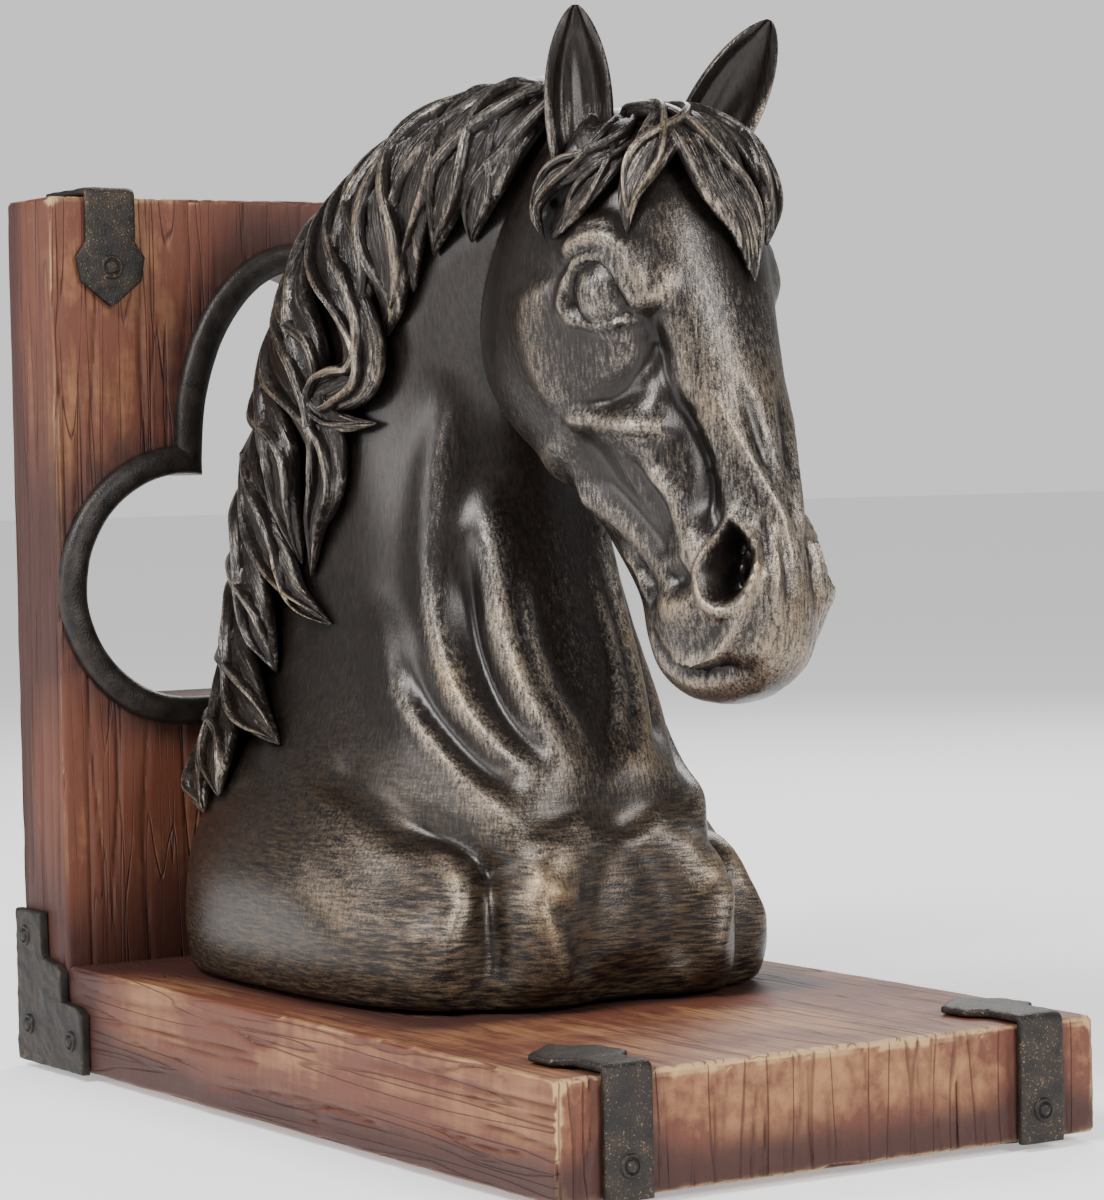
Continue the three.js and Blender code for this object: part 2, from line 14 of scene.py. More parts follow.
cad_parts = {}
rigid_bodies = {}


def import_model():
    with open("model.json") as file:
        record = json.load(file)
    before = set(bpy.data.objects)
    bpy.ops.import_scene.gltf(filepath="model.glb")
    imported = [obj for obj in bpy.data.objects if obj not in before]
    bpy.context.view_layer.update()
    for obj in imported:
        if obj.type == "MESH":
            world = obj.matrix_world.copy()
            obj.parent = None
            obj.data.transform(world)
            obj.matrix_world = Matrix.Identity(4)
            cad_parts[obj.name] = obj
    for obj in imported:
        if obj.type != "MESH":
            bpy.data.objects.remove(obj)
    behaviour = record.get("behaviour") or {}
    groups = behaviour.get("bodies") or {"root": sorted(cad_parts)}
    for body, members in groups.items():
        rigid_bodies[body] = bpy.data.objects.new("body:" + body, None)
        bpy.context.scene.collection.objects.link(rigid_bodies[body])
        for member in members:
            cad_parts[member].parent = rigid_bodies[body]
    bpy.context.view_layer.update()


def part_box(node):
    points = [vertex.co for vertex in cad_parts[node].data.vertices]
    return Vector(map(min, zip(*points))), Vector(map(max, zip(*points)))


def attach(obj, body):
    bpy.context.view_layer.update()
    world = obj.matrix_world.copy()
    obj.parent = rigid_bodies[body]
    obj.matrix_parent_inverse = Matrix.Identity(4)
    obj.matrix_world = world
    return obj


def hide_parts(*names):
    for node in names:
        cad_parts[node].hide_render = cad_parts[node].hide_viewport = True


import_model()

LOG = logging.getLogger("bookend")
MM = 0.001

Array = np.ndarray
Piece = bpy.types.Object
Point = tuple[float, ...]
Colour = tuple[float, float, float]
Surface = Callable[[Array, Array], Array]
ScoredLines = tuple[tuple[float, Point], ...]  # scale and stretch of each pattern
BurnAndShadeBox = tuple[float, Point, Point, float]  # darkness, low corner, high corner and fade

NOISE_MIX = np.array([127.1, 311.7, 74.7])  # spreads a lattice corner's three numbers
NOISE_SPREAD = 43758.5453  # makes neighbouring sines unlike each other
TINY = 1e-9
CELLS_IN_REACH = 2.5  # how finely standing_out gathers the surface
MARGIN_REACHES = 3
BLUR_ROUNDS = 2
BLUR_CELLS = 2  # either way


@dataclass(frozen=True)
class Stand:
    """Where the boards are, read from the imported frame, in millimetres.

    Shapes are worked out with X from the upright's back face and Z from the boards' underside.
    """

    back: float
    inner: float
    front: float
    under: float
    deck: float
    top: float
    side: float

    @classmethod
    def read(cls) -> "Stand":
        """Returns: the stand's planes in frame millimetres."""
        (back, _, under), (inner, side, top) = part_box("upright_panel")
        (_, _, _), (front, _, deck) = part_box("base_board")
        return cls(*(value / MM for value in (back, inner, front, under, deck, top, side)))

    @property
    def thick(self) -> float:
        """Board thickness."""
        return self.deck - self.under

    @property
    def run(self) -> float:
        """From the upright's back face to the base's front end."""
        return self.front - self.back

    @property
    def height(self) -> float:
        """Height of the upright above the underside."""
        return self.top - self.under

    def to_frame(self, points: Array) -> Array:
        """Args: points in stand millimetres. Returns: the same points in frame metres."""
        return (points + (self.back, 0.0, self.under)) * MM

    def from_frame(self, points: Array) -> Array:
        """Args: points in frame metres. Returns: the same points in stand millimetres."""
        return points / MM - (self.back, 0.0, self.under)


STAND = Stand.read()


def smoothstep(low: float, high: float, value: Array) -> Array:
    """Returns: 0 below low, 1 above high, a smooth cubic between."""
    share = np.clip((value - low) / (high - low), 0.0, 1.0)
    return share * share * (3.0 - 2.0 * share)


def power(value: Array, exponent: Array | float) -> Array:
    """Returns: the value raised to an exponent with its sign kept."""
    return np.sign(value) * np.abs(value) ** exponent


def between(table: Sequence[Point], at: Array) -> Array:
    """Reads a station table between its rows.

    Each column runs through its rows on a cubic whose slope at a row is that of the line
    between the rows before and after it.

    Args:
        table: rows, the station first.
        at: stations to read.
    Returns:
        The row values at each station, one more axis than at.
    """
    rows = np.array(table, float)
    last = len(rows) - 1
    i = np.clip(np.searchsorted(rows[:, 0], at, side="right") - 1, 0, last - 1)
    a, b, c, d = rows[np.maximum(i - 1, 0)], rows[i], rows[i + 1], rows[np.minimum(i + 2, last)]
    run = (c[..., 0] - b[..., 0])[..., None]
    s = np.clip((at - b[..., 0])[..., None] / run, 0.0, 1.0)
    inner = (i > 0)[..., None]
    outer = (i + 2 <= last)[..., None]
    before = np.where(inner, (c[..., :1] - a[..., :1]), 1.0)
    after = np.where(outer, (d[..., :1] - b[..., :1]), 1.0)
    m0 = np.where(inner, (c - a) / before * run, c - b)
    m1 = np.where(outer, (d - b) / after * run, c - b)
    s2, s3 = s * s, s * s * s
    return (2 * s3 - 3 * s2 + 1) * b + (s3 - 2 * s2 + s) * m0 + (3 * s2 - 2 * s3) * c + (s3 - s2) * m1


def flowing(points: Sequence[Point], count: int) -> Array:
    """A smooth line through points, evenly stepped by point number.

    Returns: count points on the cubic that `between` draws through the points.
    """
    rows = [(float(i), *point) for i, point in enumerate(points)]
    return between(rows, np.linspace(0.0, len(points) - 1.0, count))[:, 1:]


def lattice_noise(points: Array, size: float, seed: float) -> Array:
    """Smooth noise from 0 to 1: random values on a cubic lattice, blended inside each cell.

    Args:
        points: places in millimetres, last axis 3.
        size: lattice spacing in millimetres.
        seed: shifts the random values.
    Returns:
        One value for each place.
    """
    scaled = points / size
    cell = np.floor(scaled)
    share = scaled - cell
    share = share * share * (3.0 - 2.0 * share)
    total = np.zeros(points.shape[:-1])
    for corner in np.ndindex(2, 2, 2):
        value = np.sin((cell + corner) @ NOISE_MIX + seed) * NOISE_SPREAD
        weight = np.prod(np.where(np.array(corner) == 1, share, 1.0 - share), axis=-1)
        total += weight * (value - np.floor(value))
    return total


def wear(points: Array, *waves: Point) -> Array:
    """Uneven height: each wave adds its height times the lattice noise less a half.

    Args:
        points: places in millimetres, last axis 3.
        waves: height, lattice size and seed of each wave.
    Returns:
        Millimetres up or down for each place.
    """
    return sum(height * (lattice_noise(points, size, seed) - 0.5) for height, size, seed in waves)


def circle(count: int) -> Array:
    """Returns: angles evenly round a circle, the first one not repeated."""
    return np.linspace(0.0, 2.0 * np.pi, count, endpoint=False)


class Form:
    """A closed surface: points in stand millimetres and its faces, quads and triangles."""

    def __init__(self, points: Array, quads: Array, triangles: Array, hair: Array | None = None) -> None:
        """Keeps the faces turned outwards, by the sign of the volume they enclose.

        Args:
            points: places in stand millimetres.
            quads: four point numbers for each face.
            triangles: three for each face.
            hair: each point's place across and along a lock in millimetres, (0, 0) on bare skin.
        """
        self.points = points.reshape(-1, 3)
        self.hair = np.zeros((len(self.points), 2)) if hair is None else hair.reshape(-1, 2)
        self.quads = quads.reshape(-1, 4)
        self.triangles = triangles.reshape(-1, 3)
        if self.volume() < 0:
            self.quads = self.quads[:, ::-1]
            self.triangles = self.triangles[:, ::-1]

    def volume(self) -> float:
        """Returns: the enclosed volume, negative where the faces look inwards."""
        halves = [self.quads[:, [0, 1, 2]], self.quads[:, [0, 2, 3]], self.triangles]
        a, b, c = (self.points[np.concatenate(halves)[:, k]] for k in range(3))
        return float(np.einsum("ij,ij->i", a, np.cross(b, c)).sum()) / 6.0

    def mesh(self, name: str) -> bpy.types.Mesh:
        """A Blender mesh of the form, in frame metres.

        Args:
            name: the mesh's name.
        Returns:
            The mesh, its hair kept as a UV map.
        """
        made = bpy.data.meshes.new(name)
        sizes = np.concatenate([np.full(len(self.quads), 4), np.full(len(self.triangles), 3)])
        corners = np.concatenate([self.quads.ravel(), self.triangles.ravel()])
        made.vertices.add(len(self.points))
        made.vertices.foreach_set("co", STAND.to_frame(self.points).astype(np.float32).ravel())
        made.loops.add(len(corners))
        made.loops.foreach_set("vertex_index", corners.astype(np.int32))
        made.polygons.add(len(sizes))
        made.polygons.foreach_set("loop_start", (np.cumsum(sizes) - sizes).astype(np.int32))
        made.update(calc_edges=True)
        strands = made.uv_layers.new(name="hair")
        strands.uv.foreach_set("vector", self.hair[corners].astype(np.float32).ravel())
        return made

    def object(self, name: str) -> Piece:
        """Returns: a scene object that holds the form's mesh."""
        return scene_object(name, self.mesh(name))


def scene_object(name: str, data: bpy.types.ID) -> Piece:
    """Adds an object to the scene.

    Args:
        name: the object's name.
        data: its mesh, lamp or camera.
    Returns:
        The object.
    """
    made = bpy.data.objects.new(name, data)
    bpy.context.scene.collection.objects.link(made)
    return made


def loft(rings: Array, hair: Array | None = None) -> Form:
    """A closed body through rings of points, each end closed on its middle.

    Args:
        rings: an array of ring, point round the ring, and coordinate.
        hair: places across and along a lock for the same points.
    Returns:
        The body.
    """
    count, around = rings.shape[:2]
    i = np.arange(count - 1)[:, None] * around
    j = np.arange(around)[None, :]
    k = (j + 1) % around
    quads = np.stack([i + j, i + k, i + around + k, i + around + j], axis=-1)
    ends = np.stack([rings[0].mean(axis=0), rings[-1].mean(axis=0)])
    first, last = count * around, count * around + 1
    base = (count - 1) * around
    j, k = j[0], k[0]
    fans = np.concatenate([
        np.stack([np.full(around, first), k, j], axis=-1),
        np.stack([np.full(around, last), base + j, base + k], axis=-1),
    ])
    if hair is not None:
        hair = np.concatenate([hair.reshape(-1, 2), hair[0].mean(axis=0)[None], hair[-1].mean(axis=0)[None]])
    return Form(np.concatenate([rings.reshape(-1, 3), ends]), quads, fans, hair)


def unit(vectors: Array) -> Array:
    """Returns: vectors along the last axis, scaled to length 1."""
    return vectors / np.maximum(np.linalg.norm(vectors, axis=-1, keepdims=True), TINY)


@dataclass(frozen=True)
class Ridge:
    """A soft ridge or furrow along a line of (station, degrees) on a surface.

    Its height is rise times exp(-(distance / spread)**2), faded at the line's ends if `fade`.
    On one side only, degrees keep their sign; otherwise they count from the midline either way.
    """

    rise: float
    spread: float
    line: tuple[Point, ...]
    fade: float = 0.0
    one_side: bool = False
    samples: ClassVar[int] = 9  # for each point of the line

    def height(self, stations: Array, degrees: Array, step: float, degree: float) -> Array:
        """The ridge's height by distance from its line.

        Args:
            stations: where along the surface.
            degrees: where around it.
            step: millimetres in a station.
            degree: millimetres in a degree.
        Returns:
            Millimetres outwards at each place.
        """
        angle = degrees if self.one_side else np.abs((degrees + 180.0) % 360.0 - 180.0)
        here = np.stack([stations * step, angle * degree], axis=-1)
        route = flowing(self.line, self.samples * len(self.line)) * (step, degree)
        nearest = np.full(stations.shape, np.inf)
        share = np.zeros(stations.shape)
        for i in range(len(route) - 1):
            along = route[i + 1] - route[i]
            at = np.clip((here - route[i]) @ along / max(along @ along, TINY), 0.0, 1.0)
            away = np.linalg.norm(here - route[i] - at[..., None] * along, axis=-1)
            closer = away < nearest
            nearest = np.where(closer, away, nearest)
            share = np.where(closer, (i + at) / (len(route) - 1), share)
        bell = self.rise * np.exp(-((nearest / self.spread) ** 2))
        if self.fade:
            bell *= smoothstep(0.0, self.fade, share) * smoothstep(0.0, self.fade, 1.0 - share)
        return bell


def outward(surface: Surface, stations: Array, angles: Array, step: float, swing: float = 0.02) -> Array:
    """Outward directions of a surface: the cross product of its steps around and along.

    Args:
        surface: places by station and angle.
        stations: where along the surface.
        angles: where around it, in radians.
        step: half the step along it, in stations.
        swing: half the step around it, in radians.
    Returns:
        Unit directions, one for each place.
    """
    along = surface(stations + step, angles) - surface(stations - step, angles)
    around = surface(stations, angles + swing) - surface(stations, angles - swing)
    return unit(np.cross(around, along))


@dataclass(frozen=True)
class Lock:
    """A lock of hair on a surface, as a bundle of strands that taper to a point.

    The route gives station, degrees and lift at each point; the section is a flat ellipse
    whose outer half is grooved between the strands.
    """

    route: tuple[Point, ...]
    width: float
    thick: float
    strands: int = 4
    twist: float = 0.4
    rings: int = 36
    around: int = 28
    loose: int = 2
    rise: float = 1.0
    taper: ClassVar[Point] = (0.22, 0.775, 0.85)  # start and span on a half sine, and its power
    thin_power: ClassVar[float] = 0.7
    loose_around: ClassVar[int] = 12
    loose_strands: ClassVar[int] = 2
    loose_swing: ClassVar[float] = 0.8  # of the lock's half width
    loose_turns: ClassVar[Point] = (1.6, 0.5)  # half turns of the first, and more for each next
    loose_lift: ClassVar[float] = 0.62  # of the lock's half thickness
    loose_wave: ClassVar[float] = 0.5  # millimetres
    loose_half: ClassVar[Point] = (0.22, 0.05)  # of the lock's half width, and how that varies
    loose_thick: ClassVar[float] = 0.75
    valley_deep: ClassVar[float] = 0.5
    under_share: ClassVar[float] = 0.8  # the underside is flatter
    hair_start: ClassVar[Point] = (50.0, 10.0)  # keeps every lock's UV clear of the skin's (0, 0)
    hair_apart: ClassVar[float] = 37.0

    def forms(self, surface: Surface, step: float) -> list[Form]:
        """The lock along its route on a surface, with loose strands that swing across it.

        Args:
            surface: places by station and angle.
            step: a small step in stations on it.
        Returns:
            The lock's body and its loose strands.
        """
        share = np.linspace(0.0, 1.0, self.rings)
        station, degrees, lift = flowing(self.route, self.rings).T
        angle = np.radians(degrees)
        away = outward(surface, station, angle, step)
        middle = surface(station, angle) + away * (self.rise * lift)[:, None]
        ahead = unit(np.gradient(middle, axis=0))
        away = unit(away - (away * ahead).sum(axis=1, keepdims=True) * ahead)
        across = np.cross(ahead, away)
        start, span, bend = self.taper
        taper = np.sin(np.pi * (start + span * share)) ** bend
        half, deep = self.width / 2 * taper, self.thick / 2 * taper ** self.thin_power
        seed = self.route[0][0] * 7.0
        made = [self.bundle(middle, across, away, half, deep, self.strands, self.around)]
        for i in range(self.loose):
            swing = np.cos(seed + 2.4 * i + (self.loose_turns[0] + self.loose_turns[1] * i) * np.pi * share)
            lifted = middle + across * (self.loose_swing * half * swing)[:, None]
            lifted = lifted + away * (self.loose_lift * deep)[:, None]
            wave = self.loose_wave * np.sin(seed + 5.0 * share) * smoothstep(1.0, 0.7, share)
            lifted += away * wave[:, None]
            thin = (self.loose_half[0] + self.loose_half[1] * np.sin(seed + i)) * half
            made.append(self.bundle(
                lifted, across, away, thin, deep * self.loose_thick, self.loose_strands, self.loose_around))
        return made

    def bundle(self, middle: Array, across: Array, away: Array, half: Array, deep: Array,
               strands: int, around: int) -> Form:
        """A tapering flat body along a line, sharp-crested strands on its outer half.

        Args:
            middle: the line's points.
            across: unit directions across the lock.
            away: unit directions away from the skin.
            half: half widths along the line.
            deep: half thicknesses along the line.
            strands: how many strands show.
            around: points round each ring.
        Returns:
            The body, with its places across and along the lock.
        """
        share = np.linspace(0.0, 1.0, len(middle))
        turn = circle(around)[None, :]
        c, s = np.cos(turn), np.sin(turn)
        wander = self.twist * np.sin(2.2 * np.pi * share + self.route[0][0])[:, None]
        valley = np.abs(np.sin(np.pi * (c * strands / 2 + wander))) ** 0.7
        groove = np.where(s > 0, self.valley_deep * valley * np.abs(s) ** 0.5, 0.0)
        rise = power(s, 0.75) * deep[:, None] * (1.0 - groove) * np.where(s > 0, 1.0, self.under_share)
        sideways = c * half[:, None]
        rings = middle[:, None] + across[:, None] * sideways[..., None] + away[:, None] * rise[..., None]
        length = np.cumsum(np.linalg.norm(np.diff(middle, axis=0, prepend=middle[:1]), axis=1))
        start = self.hair_apart * self.route[0][0]
        places = np.stack(np.broadcast_arrays(
            sideways + start + self.hair_start[0], length[:, None] + self.hair_start[1]), axis=-1)
        return loft(rings, places)


@dataclass
class Bust:
    """The horse's head and neck: trunk, skull, ears, eyes, forelock and mane in one body."""

    head_length: float = 104.0
    head_turn: float = float(np.radians(11.0))
    head_pitch: float = float(np.radians(18.0))
    head_start: Point = (166.0, 6.6, 169.0)
    turn_pivot: float = 100.0
    turn_share: float = 0.6
    body_step: float = 15.0  # millimetres in a station of the trunk
    body_degree: float = 0.75  # and in a degree round it
    head_degree: float = 0.42
    body_grid: tuple[int, int] = (150, 146)  # rings, and points round each
    head_grid: tuple[int, int] = (154, 152)
    eye_grid: tuple[int, int] = (20, 36)
    front_gather: float = 0.4  # draws the trunk's points to the front
    side_gather: float = 0.22  # draws the head's points to the sides
    head_square: Point = (0.85, 0.9)
    rim_clear: float = 3.2
    fine_reach: float = 2.0  # how far around the paint looks for what stands out
    broad_reach: float = 6.0
    seam_rounds: int = 2
    seam_ease: float = 0.4

    # Stations from the base to the poll: back x and z, front x and z, half width,
    # squareness and share of the head's turn.
    body: tuple[Point, ...] = (
        (0, 26, 0, 147, 0, 46, 0.62, 0),
        (1, 25, 12, 149.5, 10, 48, 0.66, 0),
        (2, 25, 26, 149, 22, 47, 0.7, 0),
        (3, 25.5, 38, 145, 34, 42, 0.78, 0),
        (4, 27, 52, 140, 46, 33, 0.85, 0.05),
        (5, 29, 68, 134.5, 58, 28.5, 0.9, 0.1),
        (6, 32, 88, 128, 73, 26, 0.92, 0.2),
        (7, 37, 110, 123, 88, 25, 0.95, 0.35),
        (8, 46, 132, 119, 101, 23.5, 1, 0.5),
        (9, 61, 153, 118, 112, 22, 1, 0.7),
        (10, 86, 167.5, 121, 121, 20, 1, 0.85),
        (11, 112, 174, 130, 128, 18, 1, 1),
        (12, 134, 173, 143, 134, 15, 1, 1),
    )
    # Down the face in head lengths: face line, jaw line, half width and fullness above.
    head: tuple[Point, ...] = (
        (-0.07, -0.16, -0.34, 0.07, 0),
        (0, -0.07, -0.46, 0.125, 0.1),
        (0.08, -0.015, -0.56, 0.16, 0.2),
        (0.18, 0.005, -0.62, 0.186, 0.25),
        (0.29, 0.005, -0.64, 0.19, 0.2),
        (0.4, 0, -0.6, 0.178, 0.1),
        (0.5, -0.005, -0.53, 0.157, 0.05),
        (0.6, -0.012, -0.46, 0.132, 0),
        (0.7, -0.018, -0.42, 0.116, -0.05),
        (0.8, -0.022, -0.39, 0.116, 0),
        (0.88, -0.035, -0.385, 0.13, 0),
        (0.95, -0.06, -0.37, 0.118, -0.1),
        (1.01, -0.1, -0.32, 0.092, -0.1),
        (1.04, -0.16, -0.26, 0.045, 0),
    )
    body_relief: tuple[Ridge, ...] = (
        Ridge(-3.2, 3.6, ((-0.8, 0), (3.7, 0)), 0.2),
        Ridge(3.2, 6.6, ((8, 25), (7, 28), (6, 29), (5, 24), (4, 13), (3.3, 5)), 0.25),
        Ridge(2.8, 6.4, ((9.4, 50), (8.5, 44), (7.4, 47), (6, 50), (5, 45), (4.2, 34), (3.6, 20), (3, 11)),
              0.25),
        Ridge(-2.2, 3.8, ((7.1, 38), (6.4, 38.5), (5.6, 38), (4.6, 28), (3.7, 12)), 0.35),
        Ridge(2.4, 6.4, ((6.2, 66), (5.5, 66), (4.4, 58), (3.7, 42), (3.2, 28), (2.6, 17)), 0.25),
        Ridge(-2.4, 4, ((3.6, 78), (3.1, 60), (3, 45), (2.5, 32), (1.5, 29), (0.2, 28))),
        Ridge(1.5, 8, ((1.3, 48), (0.5, 44))),
        Ridge(-3.2, 13, ((3.6, 42), (2.3, 54))),
        Ridge(2, 12, ((2, 80), (1.5, 70))),
        Ridge(3, 5.5, ((2.6, 13), (1.8, 15), (0.6, 14))),
        # Finer muscles, folds and wrinkles
        Ridge(0.9, 2.4, ((7.4, 27), (6.4, 26), (5.4, 23), (4.6, 17), (4, 12)), 0.3),
        Ridge(-1.1, 2.2, ((6.8, 35), (6, 37), (5.2, 34), (4.4, 24), (3.4, 10)), 0.3),
        Ridge(0.8, 2.4, ((6.8, 52), (6, 50), (5.2, 46), (4.4, 36), (3.7, 22)), 0.3),
        Ridge(-1.8, 2.3, ((5.6, 60), (4.9, 55), (4.3, 45), (3.8, 32), (3.4, 20)), 0.3),
        Ridge(1.5, 1.9, ((5.4, 66), (4.6, 58), (3.9, 46), (3.2, 28), (2.4, 15)), 0.3),
        Ridge(-1.9, 2.4, ((3.9, 76), (3.4, 60), (3, 42), (2.5, 28), (2, 18)), 0.3),
        Ridge(1.9, 2.4, ((3.1, 52), (2.6, 41), (2, 36), (1.4, 38), (0.6, 41)), 0.25),
        Ridge(-2, 2.5, ((2.8, 33), (2.2, 29.5), (1.4, 27), (0.4, 25)), 0.2),
        Ridge(1.7, 1.8, ((2.3, 24), (1.7, 17), (1, 12), (0.4, 12)), 0.3),
        Ridge(1.5, 1.7, ((2.6, 22), (2.1, 16), (1.9, 9)), 0.3),
        Ridge(-1.4, 1.5, ((2, 13), (1.2, 8), (0.4, 8.5)), 0.3),
        Ridge(1.2, 2, ((3.2, 12), (2.9, 6), (2.6, 2)), 0.3),
        Ridge(2.2, 1.8, ((3.3, 3), (2.4, 0), (1.4, 0), (0.2, 0)), 0.25),
        Ridge(-1.2, 1.6, ((2.6, 6), (1.6, 5.5), (0.4, 6)), 0.3),
        Ridge(1.6, 1.8, ((7, 14), (6, 17), (5.2, 14), (4.6, 8), (4, 3)), 0.3),
        Ridge(2, 2.2, ((9.8, -57), (9.2, -49), (8.5, -43), (7.8, -46), (7.2, -50)), 0.3, True),
        Ridge(0.9, 0.9, ((6.4, -24), (6.1, -17), (5.8, -12)), 0.3, True),
        Ridge(0.8, 0.9, ((6.7, -22), (6.5, -17), (6.3, -13)), 0.3, True),
        Ridge(-0.8, 1, ((6.25, -23), (5.95, -15), (5.7, -11)), 0.3, True),
        Ridge(-1.3, 2.2, ((11, -74), (10.4, -66), (9.8, -60), (9.2, -55), (8.4, -50)), 0.3, True),
    )
    head_relief: tuple[Ridge, ...] = (
        Ridge(2, 3, ((0.37, 46), (0.28, 48), (0.218, 54), (0.195, 64), (0.215, 77)), 0.1),
        Ridge(-2.2, 3, ((0.36, 50), (0.42, 55), (0.46, 68), (0.48, 82))),
        Ridge(1.4, 4.2, ((0.2, 88), (0.3, 94), (0.4, 96), (0.48, 94), (0.52, 80), (0.57, 68)), 0.1),
        Ridge(-2, 3.6, ((0.42, 54), (0.55, 58), (0.66, 58), (0.74, 62))),
        Ridge(1.6, 4, ((0.54, 82), (0.62, 83), (0.7, 82), (0.78, 80))),
        Ridge(-1.6, 4, ((0.53, 104), (0.62, 106), (0.74, 96))),
        Ridge(1.6, 4, ((0.62, 128), (0.68, 110), (0.78, 98))),
        Ridge(1.2, 3.4, ((0.5, 110), (0.5, 132), (0.52, 150))),
        Ridge(-1.6, 2.1, ((0.86, 128), (0.935, 118), (0.985, 98), (1.008, 66), (1.01, 30)), 0.2),
        # Brow, lids and the folds round the eye
        Ridge(1.3, 1.3, ((0.222, 75), (0.2, 70), (0.202, 61), (0.222, 53), (0.262, 49.5), (0.3, 48.5),
                         (0.35, 47)), 0.2),
        Ridge(-1.3, 0.8, ((0.244, 77), (0.218, 71), (0.22, 62), (0.24, 55.5), (0.272, 52.2), (0.31, 50.6),
                          (0.35, 48.5)), 0.15),
        Ridge(2.1, 1.1, ((0.292, 80), (0.262, 77), (0.234, 71.5), (0.227, 65), (0.24, 58.5), (0.27, 54.5),
                         (0.3, 53), (0.335, 51.5), (0.362, 48)), 0.07),
        Ridge(1, 1, ((0.172, 72), (0.17, 62), (0.18, 54), (0.21, 48)), 0.25),
        Ridge(2.1, 1, ((0.275, 79.5), (0.3, 79.5), (0.33, 77), (0.352, 69), (0.358, 61), (0.364, 53)),
              0.08),
        Ridge(-1, 0.8, ((0.32, 81), (0.352, 74), (0.368, 65), (0.375, 57)), 0.2),
        Ridge(1, 0.8, ((0.352, 76), (0.368, 69), (0.38, 62), (0.398, 61)), 0.2),
        Ridge(1.1, 1.4, ((0.27, 37), (0.31, 36), (0.34, 41), (0.358, 46)), 0.3, True),
        Ridge(0.5, 2, ((0.21, 88), (0.262, 92), (0.349, 97), (0.412, 97), (0.46, 95)), 0.25),
        Ridge(-1, 1.2, ((0.372, 47.5), (0.395, 53), (0.436, 61), (0.469, 79)), 0.2),
        Ridge(1.3, 1.2, ((0.4, 50), (0.44, 60), (0.476, 76)), 0.3),
        Ridge(-0.6, 1.4, ((0.39, 50), (0.423, 53), (0.479, 57), (0.53, 58)), 0.25),
        # Facial crest, cheek furrows and the nose
        Ridge(1.6, 1.6, ((0.455, 97), (0.478, 95), (0.494, 88), (0.521, 79), (0.547, 70), (0.569, 64)),
              0.15),
        Ridge(-1.6, 1.8, ((0.49, 56), (0.57, 54.5), (0.638, 56), (0.69, 63), (0.744, 73)), 0.2),
        Ridge(1.2, 1.6, ((0.59, 86), (0.629, 82), (0.666, 78), (0.706, 79), (0.74, 83)), 0.25),
        Ridge(-1.3, 1.5, ((0.56, 89), (0.636, 87.5), (0.69, 86), (0.745, 89)), 0.25),
        Ridge(1.1, 1.8, ((0.47, 40), (0.586, 33), (0.66, 25), (0.7, 20), (0.76, 10), (0.82, 9)), 0.2),
        Ridge(-1.1, 2.2, ((0.5, 16), (0.62, 14), (0.7, 10)), 0.3),
        Ridge(-1.4, 1.8, ((0.74, 30), (0.8, 29), (0.86, 27.5)), 0.3),
        Ridge(1.3, 1.4, ((0.77, 25), (0.827, 21.5), (0.868, 21.5), (0.914, 25), (0.955, 24)), 0.25),
        Ridge(-1, 1.6, ((0.76, 14), (0.84, 14), (0.92, 12)), 0.3),
        Ridge(-0.9, 0.6, ((0.955, 26), (0.99, 29), (1.02, 28)), 0.2),
        # Lips, chin and the corner of the mouth
        Ridge(2, 1.2, ((0.87, 38), (0.9, 48), (0.935, 60), (0.962, 74), (0.972, 90), (0.958, 105),
                         (0.94, 116)), 0.1),
        Ridge(-1.5, 1, ((0.985, 62), (0.99, 80), (0.986, 92), (0.97, 104), (0.945, 114), (0.89, 124)),
              0.25),
        Ridge(1.3, 1.8, ((0.72, 134), (0.745, 122), (0.79, 121), (0.838, 119)), 0.25),
        Ridge(-1.5, 1.4, ((0.74, 118), (0.79, 114), (0.84, 116)), 0.25),
        Ridge(1.4, 3, ((0.83, 112), (0.865, 92), (0.868, 78)), 0.3),
        Ridge(-1.2, 3, ((0.82, 95), (0.8, 84)), 0.3),
        Ridge(1, 2, ((0.55, 120), (0.6, 135), (0.62, 155)), 0.3),
    )
    nostril: Point = (0.818, 56.5)  # middle, in station and degrees
    nostril_half: Point = (7.4, 7.6)  # half length and half width, in millimetres
    nostril_lean: float = -0.22
    nostril_deep: float = 7.5
    nostril_tip: Point = (1.25, 0.6)  # how far the tip reaches, and its power
    nostril_wall: Point = (1.05, 0.45)  # where the sunk wall starts and ends
    nostril_lip: Point = (1.9, 1.16, 0.17)  # height, place and width, as shares of the oval
    nostril_fold: Point = (3.2, 0.26)  # height and width of the fold inside
    eye: Point = (0.290, -0.1685, 0.169)  # down, out and sideways, in head lengths
    eye_radii: Point = (6.5, 5.0, 7.5)
    curl_height: float = 2.6  # the short hair between the ears
    curl_size: float = 2.6
    ear_half: float = 8.0
    ear_shell: float = 1.8
    ear_spread: Point = (100.0, 82.0)  # degrees of shell, outside and inside
    ear_points: tuple[int, int, int] = (36, 28, 22)  # rings, and points outside and inside
    ear_fold_at: Point = (0.35, 0.3)  # middle and width, in radians
    mane_rise: float = 0.58
    left_locks: int = 9
    left_top: float = 11.4  # station of the left side's first lock
    left_apart: float = 0.95

    def __post_init__(self) -> None:
        """Works out the head's own directions."""
        turn, pitch = self.head_turn, self.head_pitch
        self.down = np.array([np.sin(pitch) * np.cos(turn), np.sin(pitch) * np.sin(turn), -np.cos(pitch)])
        self.left = np.array([-np.sin(turn), np.cos(turn), 0.0])
        self.out = np.cross(self.down, self.left)
        self.start = np.array(self.head_start) + (0.0, 0.0, STAND.thick)

